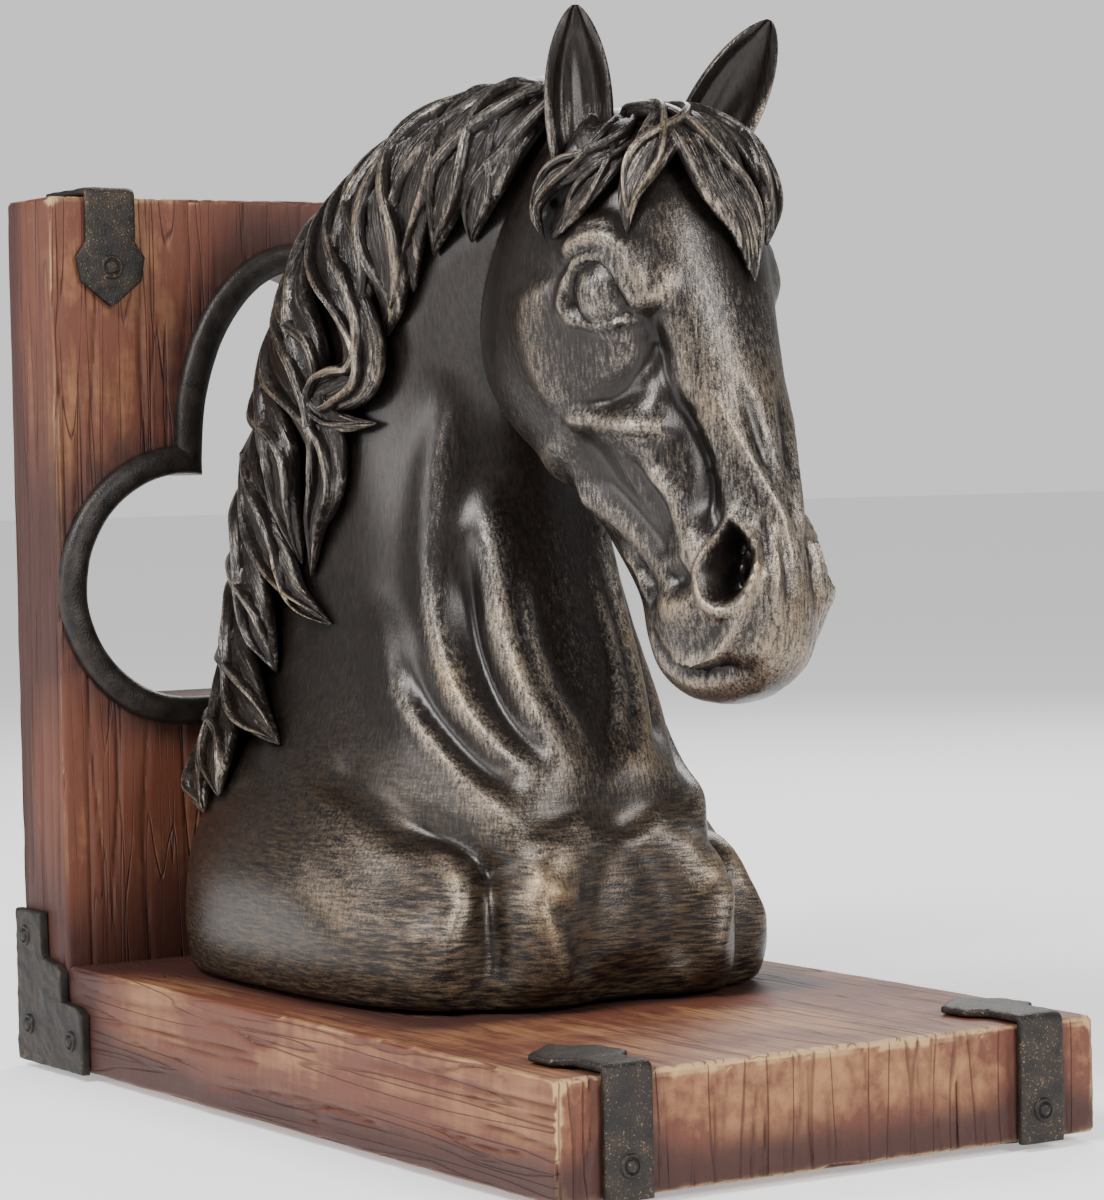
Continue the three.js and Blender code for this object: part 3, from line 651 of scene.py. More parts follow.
    def head_place(self, down: Array, out: Array, left: Array) -> Array:
        """Places given along the head's own axes.

        Args:
            down: head lengths down the face.
            out: head lengths out of it.
            left: head lengths to its left.
        Returns:
            Places in stand millimetres.
        """
        steps = [np.asarray(value, float)[..., None] for value in (down, out, left)]
        moved = steps[0] * self.down + steps[1] * self.out + steps[2] * self.left
        return self.start + self.head_length * moved

    def body_base(self, station: Array, angle: Array) -> Array:
        """The trunk without relief: at each station a rounded-square ring between a back and a
        front point, turned about an upright axis by a share of the head's turn.

        Args:
            station: where along the neck, by the table's stations.
            angle: where round it, 0 at the front, in radians.
        Returns:
            Places in stand millimetres.
        """
        row = np.moveaxis(between(self.body, station), -1, 0)
        _, back_x, back_z, front_x, front_z, half, square, turn = row
        along = power(np.cos(angle), square)
        x = (back_x + front_x) / 2 + along * (front_x - back_x) / 2
        z = (back_z + front_z) / 2 + along * (front_z - back_z) / 2
        y = power(np.sin(angle), square) * half
        turned = self.head_turn * turn * self.turn_share
        c, s = np.cos(turned), np.sin(turned)
        ahead = x - self.turn_pivot
        return np.stack([self.turn_pivot + ahead * c - y * s, ahead * s + y * c, z + STAND.thick], axis=-1)

    def head_base(self, station: Array, angle: Array) -> Array:
        """The skull without relief: at each step down the face an oval between the face line
        and the jaw line, fuller above by its fullness.

        Args:
            station: how far down the face, in head lengths.
            angle: where round it, 0 on the face line, in radians.
        Returns:
            Places in stand millimetres.
        """
        _, top, bottom, half, full = np.moveaxis(between(self.head, station), -1, 0)
        rise = power(np.cos(angle), self.head_square[0])
        side = -power(np.sin(angle), self.head_square[1])
        out = (top + bottom) / 2 + rise * (top - bottom) / 2
        return self.head_place(station, out, side * half * (1.0 + full * rise))

    def nostril_height(self, station: Array, degrees: Array) -> Array:
        """Relief of both nostrils: a pointed oval sunk with steep walls inside a raised lip.

        The oval's distance is 1 on its edge; above its middle the half width shrinks to a tip.

        Args:
            station: how far down the face, in head lengths.
            degrees: where round it.
        Returns:
            Millimetres outwards at each place.
        """
        angle = np.abs((degrees + 180.0) % 360.0 - 180.0)
        along = (station - self.nostril[0]) * self.head_length
        across = (angle - self.nostril[1]) * self.head_degree + self.nostril_lean * along
        half_long, half_wide = self.nostril_half
        reach, sharp = self.nostril_tip
        pointed = np.where(along < 0, np.clip(1.0 + along / (half_long * reach), 0.05, 1.0), 1.0)
        away = np.hypot(along / half_long, across / (half_wide * pointed ** sharp))
        sunk = self.nostril_deep * smoothstep(*self.nostril_wall, away)
        height, place, width = self.nostril_lip
        lip = height * np.exp(-(((away - place) / width) ** 2))
        fold = self.nostril_fold[0] * np.exp(-((away / self.nostril_fold[1]) ** 2))
        return lip + fold - sunk

    def trunk(self) -> Form:
        """Returns: the neck and chest, its rings drawn together at the front."""
        rings, around = self.body_grid
        ring = circle(around)[None, :]
        station = np.linspace(self.body[0][0], self.body[-1][0], rings)[:, None]
        station, angle = np.broadcast_arrays(station, ring - self.front_gather * np.sin(ring))
        steps = np.degrees(angle), self.body_step, self.body_degree
        height = sum(ridge.height(station, *steps) for ridge in self.body_relief)
        away = outward(self.body_base, station, angle, 0.05)
        away[..., 2] *= smoothstep(0.0, 0.6, station)
        return loft(self.body_base(station, angle) + away * height[..., None])

    def skull(self) -> Form:
        """Returns: the head, its rings drawn together at the sides."""
        rings, around = self.head_grid
        ring = circle(around)[None, :]
        station = np.linspace(self.head[0][0], self.head[-1][0], rings)[:, None]
        station, angle = np.broadcast_arrays(station, ring + self.side_gather * np.sin(2.0 * ring))
        degrees = np.degrees(angle)
        steps = degrees, self.head_length, self.head_degree
        height = sum(ridge.height(station, *steps) for ridge in self.head_relief)
        height = height + self.nostril_height(station, degrees)
        base = self.head_base(station, angle)
        curls = smoothstep(0.16, 0.06, station) * smoothstep(36, 50, degrees) * smoothstep(100, 84, degrees)
        height = height + curls * self.curl_height * (lattice_noise(base, self.curl_size, 3.0) - 0.4)
        return loft(base + outward(self.head_base, station, angle, 0.01) * height[..., None])

    def eyeball(self, side: float) -> Form:
        """An ellipsoid between the lids, its poles closed by small flat ends.

        Args:
            side: 1 for the horse's left eye, -1 for its right one.
        Returns:
            The eyeball.
        """
        rings, around = self.eye_grid
        pole = 0.06
        rise = np.linspace(pole, np.pi - pole, rings)[:, None]
        turn = circle(around)[None, :]
        axes = np.stack([self.out, self.left, self.down]) * np.array(self.eye_radii)[:, None]
        shares = np.stack(np.broadcast_arrays(
            np.sin(rise) * np.cos(turn), np.sin(rise) * np.sin(turn), np.cos(rise)), axis=-1)
        return loft(self.head_place(self.eye[0], self.eye[1], side * self.eye[2]) + shares @ axes)

    def ear(self, base: Array, tip: Array, facing: Array, fold: float, wide: float = 1.0) -> Form:
        """A cupped leaf-shaped ear: crescent rings from base to tip, hollow towards `facing`.

        Its half width grows from the base and closes on the tip; inside runs a low fold.

        Args:
            base: the middle of its root.
            tip: its tip.
            facing: the way its hollow looks.
            fold: height of the fold inside, in millimetres.
            wide: share of the usual width.
        Returns:
            The ear.
        """
        rings, outside, inside = self.ear_points
        share = np.linspace(0.0, 1.0, rings)[:, None]
        axis = tip - base
        side = unit(np.cross(facing, axis))
        back = -unit(np.cross(axis, side))
        half = wide * self.ear_half * (1.01 - share) ** 0.7 * (0.6 + 1.4 * share)
        shell = np.minimum(self.ear_shell, half * 0.5)
        depth = half * 0.8 + 0.4
        back_spread, hollow_spread = self.ear_spread
        outer = np.radians(np.linspace(-back_spread, back_spread, outside))[None, :]
        inner = np.radians(np.linspace(hollow_spread, -hollow_spread, inside))[None, :]
        fold_at, fold_wide = self.ear_fold_at
        ridge = fold * np.exp(-(((inner - fold_at) / fold_wide) ** 2))
        ridge = ridge * np.sin(np.pi * np.clip(share * 1.2, 0, 1))
        across = np.concatenate([np.sin(outer) * half, np.sin(inner) * (half - shell)], axis=1)
        deep = np.concatenate([np.cos(outer) * depth, np.cos(inner) * (depth - shell) - ridge], axis=1)
        deep = deep - half * 0.25
        middle = base + axis * share
        return loft(middle[:, None] + across[..., None] * side + deep[..., None] * back)

    def ears(self) -> list[Form]:
        """Returns: the right ear, open to the side, and the left one, leaning out."""
        return [
            self.ear(self.head_place(0.06, -0.22, -0.1), self.head_place(-0.25, -0.13, -0.104),
                     np.array([0.75, -0.66, 0.1]), 1.3),
            self.ear(self.head_place(0.065, -0.2, 0.125), self.head_place(-0.172, 0.03, 0.222),
                     np.array([0.88, -0.36, -0.25]), 0.8, 1.12),
        ]

    def mane(self) -> list[Lock]:
        """Returns: the locks on the right side, listed one by one, and plainer ones on the left by a rule."""
        right = [
            Lock(((11.95, -168, 1), (11.8, -140, 4), (11.5, -112, 5), (11.2, -95, 4), (10.85, -80, 1)),
                 12, 6),
            Lock(((11.6, -174, 1), (11.45, -145, 5), (11.1, -116, 6), (10.75, -98, 5), (10.3, -84, 1.5)),
                 14, 7, 5),
            Lock(((11.2, -176, 1), (11, -148, 5), (10.6, -118, 6), (10.25, -97, 5), (9.8, -78, 1.5)),
                 14, 7, 5),
            Lock(((10.8, -178, 2), (10.4, -148, 6), (10.05, -118, 7), (9.85, -95, 6), (9.55, -82, 4),
                  (9.1, -77, 1)), 14, 7, 5),
            Lock(((10.3, -178, 2), (9.9, -148, 6), (9.6, -120, 7), (9.4, -100, 6), (9, -88, 4),
                  (8.45, -84, 1)), 14, 7, 5),
            Lock(((9.8, -178, 2), (9.4, -148, 6), (9.2, -116, 7.5), (9.15, -94, 7), (8.9, -80, 6.5),
                  (8.5, -78, 6), (8.2, -86, 6), (8, -92, 6), (7.87, -87, 6), (7.9, -79, 5), (8.05, -70, 3)),
                 11, 6.5, 4, 0.6, 80),
            Lock(((9.3, -178, 2), (8.8, -150, 6), (8.5, -125, 7.5), (8.3, -106, 6), (8, -98, 4),
                  (7.7, -90, 1)), 15, 8, 5),
            Lock(((8.8, -178, 2), (8.3, -150, 7), (8.05, -124, 8), (7.9, -104, 6), (7.6, -90, 4.5),
                  (7.1, -87, 3.5), (6.6, -92, 3), (6, -96, 1)), 13, 7, 4, 0.5, 60),
            Lock(((8.4, -178, 3), (7.8, -152, 7), (7.45, -126, 8), (7.15, -110, 6.5), (6.7, -104, 5),
                  (6.1, -101, 1)), 15, 8, 5),
            Lock(((7.7, -178, 3), (7.1, -154, 8), (6.75, -132, 9), (6.4, -118, 7), (6.05, -107, 5),
                  (5.75, -99, 3.5), (5.55, -88, 1)), 13, 7, 4, 0.5, 56),
            Lock(((7, -178, 3), (6.4, -154, 8), (6, -134, 9), (5.6, -121, 7.5), (5.2, -115, 5),
                  (4.8, -110, 1.5)), 16, 8, 5),
            Lock(((6.1, -178, 3), (5.5, -156, 8), (5.05, -136, 9.5), (4.6, -122, 8), (4.15, -110, 5),
                  (3.85, -98, 1)), 15, 8, 5, 0.5, 50),
            Lock(((5.2, -178, 3), (4.6, -156, 7), (4.15, -138, 8.5), (3.7, -124, 7), (3.35, -117, 5),
                  (2.95, -111, 1.5)), 15, 8, 5),
            Lock(((4.4, -178, 2), (3.85, -158, 6), (3.4, -140, 7), (3, -127, 5), (2.65, -118, 1)), 14, 7),
            Lock(((3.7, -178, 2), (3.2, -160, 5), (2.85, -146, 5), (2.55, -134, 1)), 12, 6, 4),
        ]
        left = []
        for i in range(self.left_locks):
            root = self.left_top - self.left_apart * i
            drop = 1.1 + 0.25 * np.sin(1.7 * i)
            tip = 138 + 9 * np.sin(2.3 * i)
            route = ((root, 186, 2), (root - 0.2 * drop, 170, 5), (root - 0.55 * drop, 154, 4.5),
                     (root - drop, tip, 1))
            left.append(Lock(route, 15, 7, rings=26, around=22, loose=0))
        return right + left

    def forelock(self) -> list[Lock]:
        """Returns: the locks over the forehead and the brow."""
        return [
            Lock(((-0.045, 6, -1), (0.02, 11, 3), (0.07, 24, 3.5), (0.11, 34, 3), (0.155, 42, 2.4),
                  (0.215, 46.5, 1)), 8.5, 4.4, 2, 0.5),
            Lock(((0, 34, 1), (0.045, 46, 2.5), (0.07, 62, 3), (0.075, 76, 3), (0.105, 85, 2.6),
                  (0.16, 83, 1)), 6.5, 4, 3, 0.5),
            Lock(((0.03, 30, 1), (0.075, 46, 2), (0.12, 60, 2), (0.15, 70, 1.6), (0.165, 80, 0.6)),
                 6, 3, 3, 0.5),
            Lock(((-0.05, 2, -1), (0.04, 5, 3), (0.15, 4, 3), (0.24, -3, 2.2), (0.335, -5, 0.8)),
                 14, 4.8, 6, 0.3, 52, 44, 1),
            Lock(((-0.05, -14, -1), (0.05, -20, 3.2), (0.16, -24, 3.4), (0.26, -20, 1)), 12, 5, 4),
            Lock(((-0.05, -36, -1), (0.05, -52, 3), (0.14, -64, 2.6), (0.2, -74, 0.8)), 9, 4.4, 3),
        ]

    def sculpt(self) -> Piece:
        """Joins all parts into one solid and rounds the seams.

        Returns: the bust's object.
        """
        parts = [self.skull(), self.eyeball(1.0), self.eyeball(-1.0), *self.ears()]
        for lock in self.mane():
            parts += replace(lock, rise=self.mane_rise).forms(self.body_base, 0.05)
        for lock in self.forelock():
            parts += lock.forms(self.head_base, 0.01)
        bust = combine(self.trunk().object("horse_sculpture"), parts, "UNION")
        drop_crumbs(bust)
        self.settle(bust)
        return bust

    def finish(self) -> None:
        """Makes the horse, marks what its paint reads, and paints it."""
        piece = self.sculpt()
        mark(piece, "raised", standing_out(piece, self.fine_reach))
        mark(piece, "swell", standing_out(piece, self.broad_reach))
        x, _, z = STAND.from_frame(vertices_of(piece)).T
        # Silver dry-brush by place, in part a painted highlight: more on the lit face and front of the neck,
        # less on the upper neck behind the jaw and on the ear tips.
        ears = 1.3 * smoothstep(190.0, 198.0, z)
        ahead = x - 95.0 - 0.42 * (z - 60.0)
        mark(piece, "front_highlight", smoothstep(-25.0, 25.0, ahead) - ears)
        dress(piece, BronzePaint().material(), "horse_bust")

    def settle(self, bust: Piece) -> None:
        """Rounds the seams and flattens the mane where it would meet the rim or the base.

        Args:
            bust: the joined horse, changed in place.
        """
        points = vertices_of(bust)
        for _ in range(self.seam_rounds):
            points = points + self.seam_ease * (neighbour_mean(bust, points) - points)
        rim = (STAND.inner + self.rim_clear) * MM
        points[:, 0] = np.maximum(points[:, 0], rim)
        points[:, 2] = np.maximum(points[:, 2], STAND.deck * MM)
        bust.data.vertices.foreach_set("co", points.astype(np.float32).ravel())
        bust.data.update()


def combine(body: Piece, parts: Sequence[Form], operation: str) -> Piece:
    """Unites closed forms with a body, or cuts them out of it.

    Args:
        body: the object that takes the result.
        parts: the closed forms.
        operation: "UNION" or "DIFFERENCE".
    Returns:
        The same object, with the new mesh and no modifier.
    """
    helpers = bpy.data.collections.new("helper_parts")
    bpy.context.scene.collection.children.link(helpers)
    for number, part in enumerate(parts):
        name = f"helper_{number}"
        helpers.objects.link(bpy.data.objects.new(name, part.mesh(name)))
    solver = body.modifiers.new("combined", "BOOLEAN")
    solver.operation = operation
    solver.solver = "MANIFOLD"
    solver.operand_type = "COLLECTION"
    solver.collection = helpers
    graph = bpy.context.evaluated_depsgraph_get()
    done = bpy.data.meshes.new_from_object(body.evaluated_get(graph))
    body.modifiers.clear()
    body.data = done
    for made in list(helpers.objects):
        bpy.data.objects.remove(made)
    bpy.data.collections.remove(helpers)
    return body


def edges_of(piece: Piece) -> tuple[Array, Array]:
    """The two ends of every edge.

    Args:
        piece: the object to read.
    Returns:
        The vertex numbers at one end and at the other.
    """
    ends = np.empty(len(piece.data.edges) * 2, np.int32)
    piece.data.edges.foreach_get("vertices", ends)
    first, second = ends.reshape(-1, 2).T
    return first, second


def drop_crumbs(piece: Piece) -> None:
    """Deletes whatever isn't joined by edges to the piece's main part, grown from its first vertex.

    Args:
        piece: the object, changed in place.
    """
    a, b = edges_of(piece)
    kept = np.zeros(len(piece.data.vertices), bool)
    kept[0] = True
    grown = 0
    while kept.sum() > grown:
        grown = kept.sum()
        kept[b[kept[a]]] = True
        kept[a[kept[b]]] = True
    work = bmesh.new()
    work.from_mesh(piece.data)
    work.verts.ensure_lookup_table()
    crumbs = [work.verts[i] for i in np.flatnonzero(~kept)]
    bmesh.ops.delete(work, geom=crumbs, context="VERTS")
    work.to_mesh(piece.data)
    work.free()


def vertices_of(piece: Piece, kind: str = "co") -> Array:
    """What a piece's vertices hold.

    Args:
        piece: the object to read.
        kind: "co" for places or "normal" for normals.
    Returns:
        One row of three for each vertex.
    """
    values = np.empty(len(piece.data.vertices) * 3, np.float32)
    if kind == "normal":
        piece.data.vertex_normals.foreach_get("vector", values)
    else:
        piece.data.vertices.foreach_get("co", values)
    return values.reshape(-1, 3).astype(float)


def neighbour_mean(piece: Piece, values: Array) -> Array:
    """Averages values over each vertex's edge neighbours.

    Args:
        piece: the object whose edges count.
        values: one row for each vertex.
    Returns:
        The mean row of each vertex's neighbours.
    """
    a, b = edges_of(piece)
    count = len(values)
    near = np.concatenate([a, b])
    far = np.concatenate([b, a])
    times = np.maximum(np.bincount(near, minlength=count), 1)
    sums = [np.bincount(near, weights=values[far, k], minlength=count) for k in range(values.shape[1])]
    return np.stack(sums, axis=-1) / times[:, None]


def standing_out(piece: Piece, reach: float) -> Array:
    """How far each vertex stands out of the surface around it.

    The surface's own weight is gathered in cubic cells and blurred over the reach; a vertex
    stands out by its distance from the blurred middle along its normal.

    Args:
        piece: the object to measure.
        reach: how far around to look, in millimetres.
    Returns:
        Millimetres for each vertex, negative in hollows.
    """
    points = vertices_of(piece) / MM
    normals = vertices_of(piece, "normal")
    a, b = edges_of(piece)
    count = len(points)
    ends = np.concatenate([a, b])
    lengths = np.linalg.norm(points[a] - points[b], axis=1)
    total = np.bincount(ends, weights=np.concatenate([lengths, lengths]), minlength=count)
    spans = (total / np.maximum(np.bincount(ends, minlength=count), 1)) ** 2
    cell = reach / CELLS_IN_REACH
    low = points.min(axis=0) - MARGIN_REACHES * reach
    shape = np.ceil((points.max(axis=0) + MARGIN_REACHES * reach - low) / cell).astype(int) + 1
    place = ((points - low) / cell).astype(int)
    flat = np.ravel_multi_index(place.T, shape)
    layers = []
    for weights in (spans, *(spans * points[:, k] for k in range(3))):
        layer = np.bincount(flat, weights=weights, minlength=int(np.prod(shape))).reshape(shape)
        for axis in range(3):
            for _ in range(BLUR_ROUNDS):
                layer = box_blur(layer, axis)
        layers.append(layer)
    weight = np.maximum(layers[0].ravel()[flat], TINY)
    middle = np.stack([layer.ravel()[flat] for layer in layers[1:]], axis=-1) / weight[:, None]
    return ((points - middle) * normals).sum(axis=1)


def box_blur(layer: Array, axis: int) -> Array:
    """The layer's running mean along an axis, from sums taken one width apart.

    Args:
        layer: values on a three-way grid.
        axis: which way to blur.
    Returns:
        The blurred layer.
    """
    width = 2 * BLUR_CELLS + 1
    moved = np.moveaxis(layer, axis, 0)
    before, after = (np.zeros((cells, *moved.shape[1:])) for cells in (BLUR_CELLS + 1, BLUR_CELLS))
    sums = np.cumsum(np.concatenate([before, moved, after]), axis=0)
    return np.moveaxis((sums[width:] - sums[:-width]) / width, 0, axis)


def mark(piece: Piece, name: str, values: Array) -> None:
    """Keeps one value for each vertex of the piece, for its material to read.

    Args:
        piece: the object, changed in place.
        name: the attribute's name.
        values: one value for each vertex.
    """
    layer = piece.data.attributes.new(name, "FLOAT", "POINT")
    layer.data.foreach_set("value", values.astype(np.float32))


@dataclass(frozen=True)
class Grooves:
    """Carved lines spread over one face by a seeded draw, each range given as low and high.

    Each line's middle wanders about its place on a slope and a sine wave.
    """

    seed: int
    count: int
    along: Point
    across: Point
    slope: float
    wave: float
    deep: Point
    wide: Point
    length: Point
    fading: ClassVar[float] = 0.15  # share of the length at each end
    shortest_wave: ClassVar[float] = 30.0

    def depth(self, along: Array, across: Array) -> Array:
        """Sum of the lines' depths: each a bell across the line that fades at both ends.

        Args:
            along: places along the grain, in millimetres.
            across: places across it.
        Returns:
            Millimetres into the board.
        """
        draw = np.random.default_rng(self.seed)
        (first, last), (low, high) = self.along, self.across
        depth = np.zeros(len(along))
        for i in range(self.count):
            span = draw.uniform(*self.length)
            start = draw.uniform(first - 0.3 * span, last - 0.7 * span)
            at = low + (high - low) * (i + draw.uniform(0.1, 0.9)) / self.count
            slope, wave = draw.normal(0.0, self.slope), draw.normal(0.0, self.wave)
            phase = draw.uniform(0.0, 6.28)
            deep, wide = draw.uniform(*self.deep), draw.uniform(*self.wide)
            run = along - start
            turn = phase + 2.0 * np.pi * run / max(span, self.shortest_wave)
            away = across - (at + slope * run + wave * np.sin(turn))
            fade = self.fading * span
            ends = smoothstep(0.0, fade, run) * smoothstep(0.0, fade, span - run)
            depth += deep * ends * np.exp(-((away / wide) ** 2))
        return depth


@dataclass
class Board:
    """A solid board with softened, worn edges and grooves carved along its faces."""

    node: ClassVar[str]
    grain: ClassVar[Point]
    end_grain: ClassVar[Point]
    lines: ClassVar[ScoredLines]
    name: str
    low: Point
    high: Point
    steps: Point
    rounding: float = 1.2
    rounding_steps: int = 3
    chip_deep: float = 2.0
    chips: tuple[Point, ...] = ((0.6, 0.85), (6.0, 7.0))  # noise that chips; its size and seed
    waves: tuple[Point, ...] = ((0.25, 17.0, 1.0), (0.16, 6.0, 2.0))
    skin_sunk: float = 0.2  # keeps the uneven skin inside the board's own box
    deepest: float = 1.0
    bottom_darkening: Point = (1.05, 14.0)  # darkness at the underside, and how high it reaches
    worn_reach: float = 1.6

    def rail(self, axis: int) -> Array:
        """Grid lines along an axis, close together where the edges are rounded.

        Args:
            axis: 0, 1 or 2.
        Returns:
            Places along the axis.
        """
        low, high = self.low[axis], self.high[axis]
        edge = np.linspace(0.0, self.rounding, self.rounding_steps + 1)
        count = int(round((high - low - 2 * self.rounding) / self.steps[axis]))
        middle = np.linspace(low + self.rounding, high - self.rounding, count + 1)
        return np.concatenate([low + edge[:-1], middle, high - edge[:-1][::-1]])

    def grid(self) -> tuple[Array, Array]:
        """A box's skin as six grids that share their edges.

        Returns: the skin's points and its quads.
        """
        rails = [self.rail(axis) for axis in range(3)]
        counts = [len(rail) for rail in rails]
        inside = np.zeros([count - 2 for count in counts], bool)
        skin = np.pad(inside, 1, constant_values=True)
        number = np.full(counts, -1)
        number[skin] = np.arange(skin.sum())
        lattice = np.stack(np.meshgrid(*rails, indexing="ij"), axis=-1)
        quads = []
        for axis in range(3):
            for end in (0, -1):
                side = np.take(number, end, axis=axis)
                corners = side[:-1, :-1], side[1:, :-1], side[1:, 1:], side[:-1, 1:]
                quad = np.stack(corners, axis=-1).reshape(-1, 4)
                quads.append(quad if (end == -1) == (axis != 1) else quad[:, ::-1])
        return lattice[skin], np.concatenate(quads)

    def carved_faces(self) -> list[tuple[str, int, Grooves]]:
        """Returns: axes of a face, of the grain and across it, the side, and its grooves.

        The side is -1, 1, or 0 for both ways.
        """
        return []

    def carve(self, points: Array, normals: Array) -> Array:
        """Adds up each face's grooves, weighted by how squarely a point faces that way.

        Args:
            points: places in stand millimetres.
            normals: outward directions there.
        Returns:
            Depth of the carving in millimetres.
        """
        places = dict(zip("xyz", points.T))
        towards = dict(zip("xyz", normals.T))
        depth = np.zeros(len(points))
        for (face, along, across), side, grooves in self.carved_faces():
            weight = towards[face] ** 4 * (towards[face] * side >= 0)
            depth += weight * grooves.depth(places[along], places[across])
        return np.minimum(depth, self.deepest)

    def cut(self, made: Piece) -> Piece:
        """Returns: the board's object, with its openings cut where it has any."""
        return made

    def burn_and_shade_boxes(self) -> list[BurnAndShadeBox]:
        """Returns: the darkened places round both brackets."""
        side = STAND.side
        flanks = (-side - 2, -side), (side, side + 2)
        return [(0.75, (0, near, 0), (32, far, 26), 8.0) for near, far in flanks]

    def burnt_and_shaded(self, points: Array, normals: Array) -> Array:
        """Where the paint is darkened, partly as painted shade: on the lower edges, and by exp(-distance /
        fade) near boxes.

        Args:
            points: places in stand millimetres.
            normals: outward directions there.
        Returns:
            Darkness at each point.
        """
        amount, height = self.bottom_darkening
        dark = amount * smoothstep(height, 0.0, points[:, 2]) * (1.0 - np.abs(normals[:, 2]))
        for amount, low, high, fade in self.burn_and_shade_boxes():
            away = np.maximum(np.maximum(np.array(low) - points, points - np.array(high)), 0.0)
            dark += amount * np.exp(-np.linalg.norm(away, axis=1) / fade)
        return dark

    def ended(self, normals: Array) -> Array:
        """Returns: 1 where the scored lines run across an end face; a plain board has none."""
        return np.zeros(len(normals))

    def finish(self, paint: "WoodPaint") -> None:
        """Makes the board, marks its cuts, its burns and painted shade, and paints it.

        Args:
            paint: the paint of both boards.
        """
        piece = self.build()
        points = STAND.from_frame(vertices_of(piece))
        normals = vertices_of(piece, "normal")
        mark(piece, "raised", standing_out(piece, self.worn_reach))
        mark(piece, "carved", self.carve(points, normals))
        mark(piece, "burnt_and_shaded", self.burnt_and_shaded(points, normals))
        mark(piece, "ended", self.ended(normals))
        material = paint.material(f"{self.node}_paint", self.grain, self.end_grain, self.lines)
        dress(piece, material, self.node, 40.0)

    def build(self) -> Piece:
        """Rounds the skin, carves it and cuts its openings.

        A skin point moves to its nearest point on the box shrunk by the rounding, and out
        again by the rounding; the carving then sinks it along the same direction.

        Returns:
            The board's object.
        """
        points, quads = self.grid()
        low = np.array(self.low) + self.rounding
        high = np.array(self.high) - self.rounding
        core = np.clip(points, low, high)
        normals = unit(points - core)
        flat = core + normals * self.rounding
        depth = self.carve(flat, normals)
        edge = 1.0 - np.max(np.abs(normals), axis=1)
        (rare, full), noise = self.chips
        chips = self.chip_deep * edge * smoothstep(rare, full, lattice_noise(flat, *noise))
        sunk = np.maximum(depth + chips - wear(flat, *self.waves) + self.skin_sunk, 0.0)
        skin = Form(flat - normals * sunk[:, None], quads, np.empty((0, 3), int))
        return self.cut(skin.object(self.name))


@dataclass
class BaseBoard(Board):
    """The lying board: long flowing cuts on its sides, upright ones on its front end."""

    node: ClassVar[str] = "base_board"
    grain: ClassVar[Point] = (0.09, 1.0, 1.0)
    end_grain: ClassVar[Point] = (1.0, 1.0, 0.2)
    lines: ClassVar[ScoredLines] = ((230.0, (0.035, 1.0, 1.0)), (160.0, (0.06, 1.0, 0.9)))

    def burn_and_shade_boxes(self) -> list[BurnAndShadeBox]:
        """Returns: the darkened places round both brackets, with painted shadow round the bust's foot,
        painted shade in the corner by the upright, and darkening round the front straps too.
        """
        side = STAND.side
        boxes = super().burn_and_shade_boxes()
        # Painted shadow round the foot of the bust.
        boxes.append((1.3, (26, -42, 20), (144, 42, 30), 6.5))
        # Painted shade in the corner where the deck meets the upright.
        boxes.append((0.9, (20, -side + 8, 22), (24, side - 8, 30), 9.0))
        for middle in (-45.0, 45.0):
            boxes.append((0.5, (192, middle - 6, 0), (216, middle + 6, 24), 2.0))
        return boxes

    def ended(self, normals: Array) -> Array:
        """Returns: 1 on the front end, where the scored lines run upright."""
        return np.abs(normals[:, 0]) ** 4

    def carved_faces(self) -> list[tuple[str, int, Grooves]]:
        """Returns: the grooves of both sides, the front end and the deck."""
        run = self.low[0], self.high[0]
        length = self.high[0] - self.low[0]
        flanks = [Grooves(seed, 15, run, (2.5, 20.5), slope=0.018, wave=0.9, deep=(0.2, 0.6),
                          wide=(0.32, 0.55), length=(0.15 * length, 0.5 * length)) for seed in (11, 12)]
        front = Grooves(21, 36, (0.0, 22.0), (-57.0, 57.0), slope=0.09, wave=0.5, deep=(0.12, 0.42),
                        wide=(0.32, 0.5), length=(10, 30))
        deck = Grooves(31, 52, run, (-58, 58), slope=0.01, wave=0.6, deep=(0.1, 0.3),
                       wide=(0.32, 0.5), length=(0.15 * length, 0.6 * length))
        return [("yxz", -1, flanks[0]), ("yxz", 1, flanks[1]), ("xzy", 0, front), ("zxy", 1, deck)]


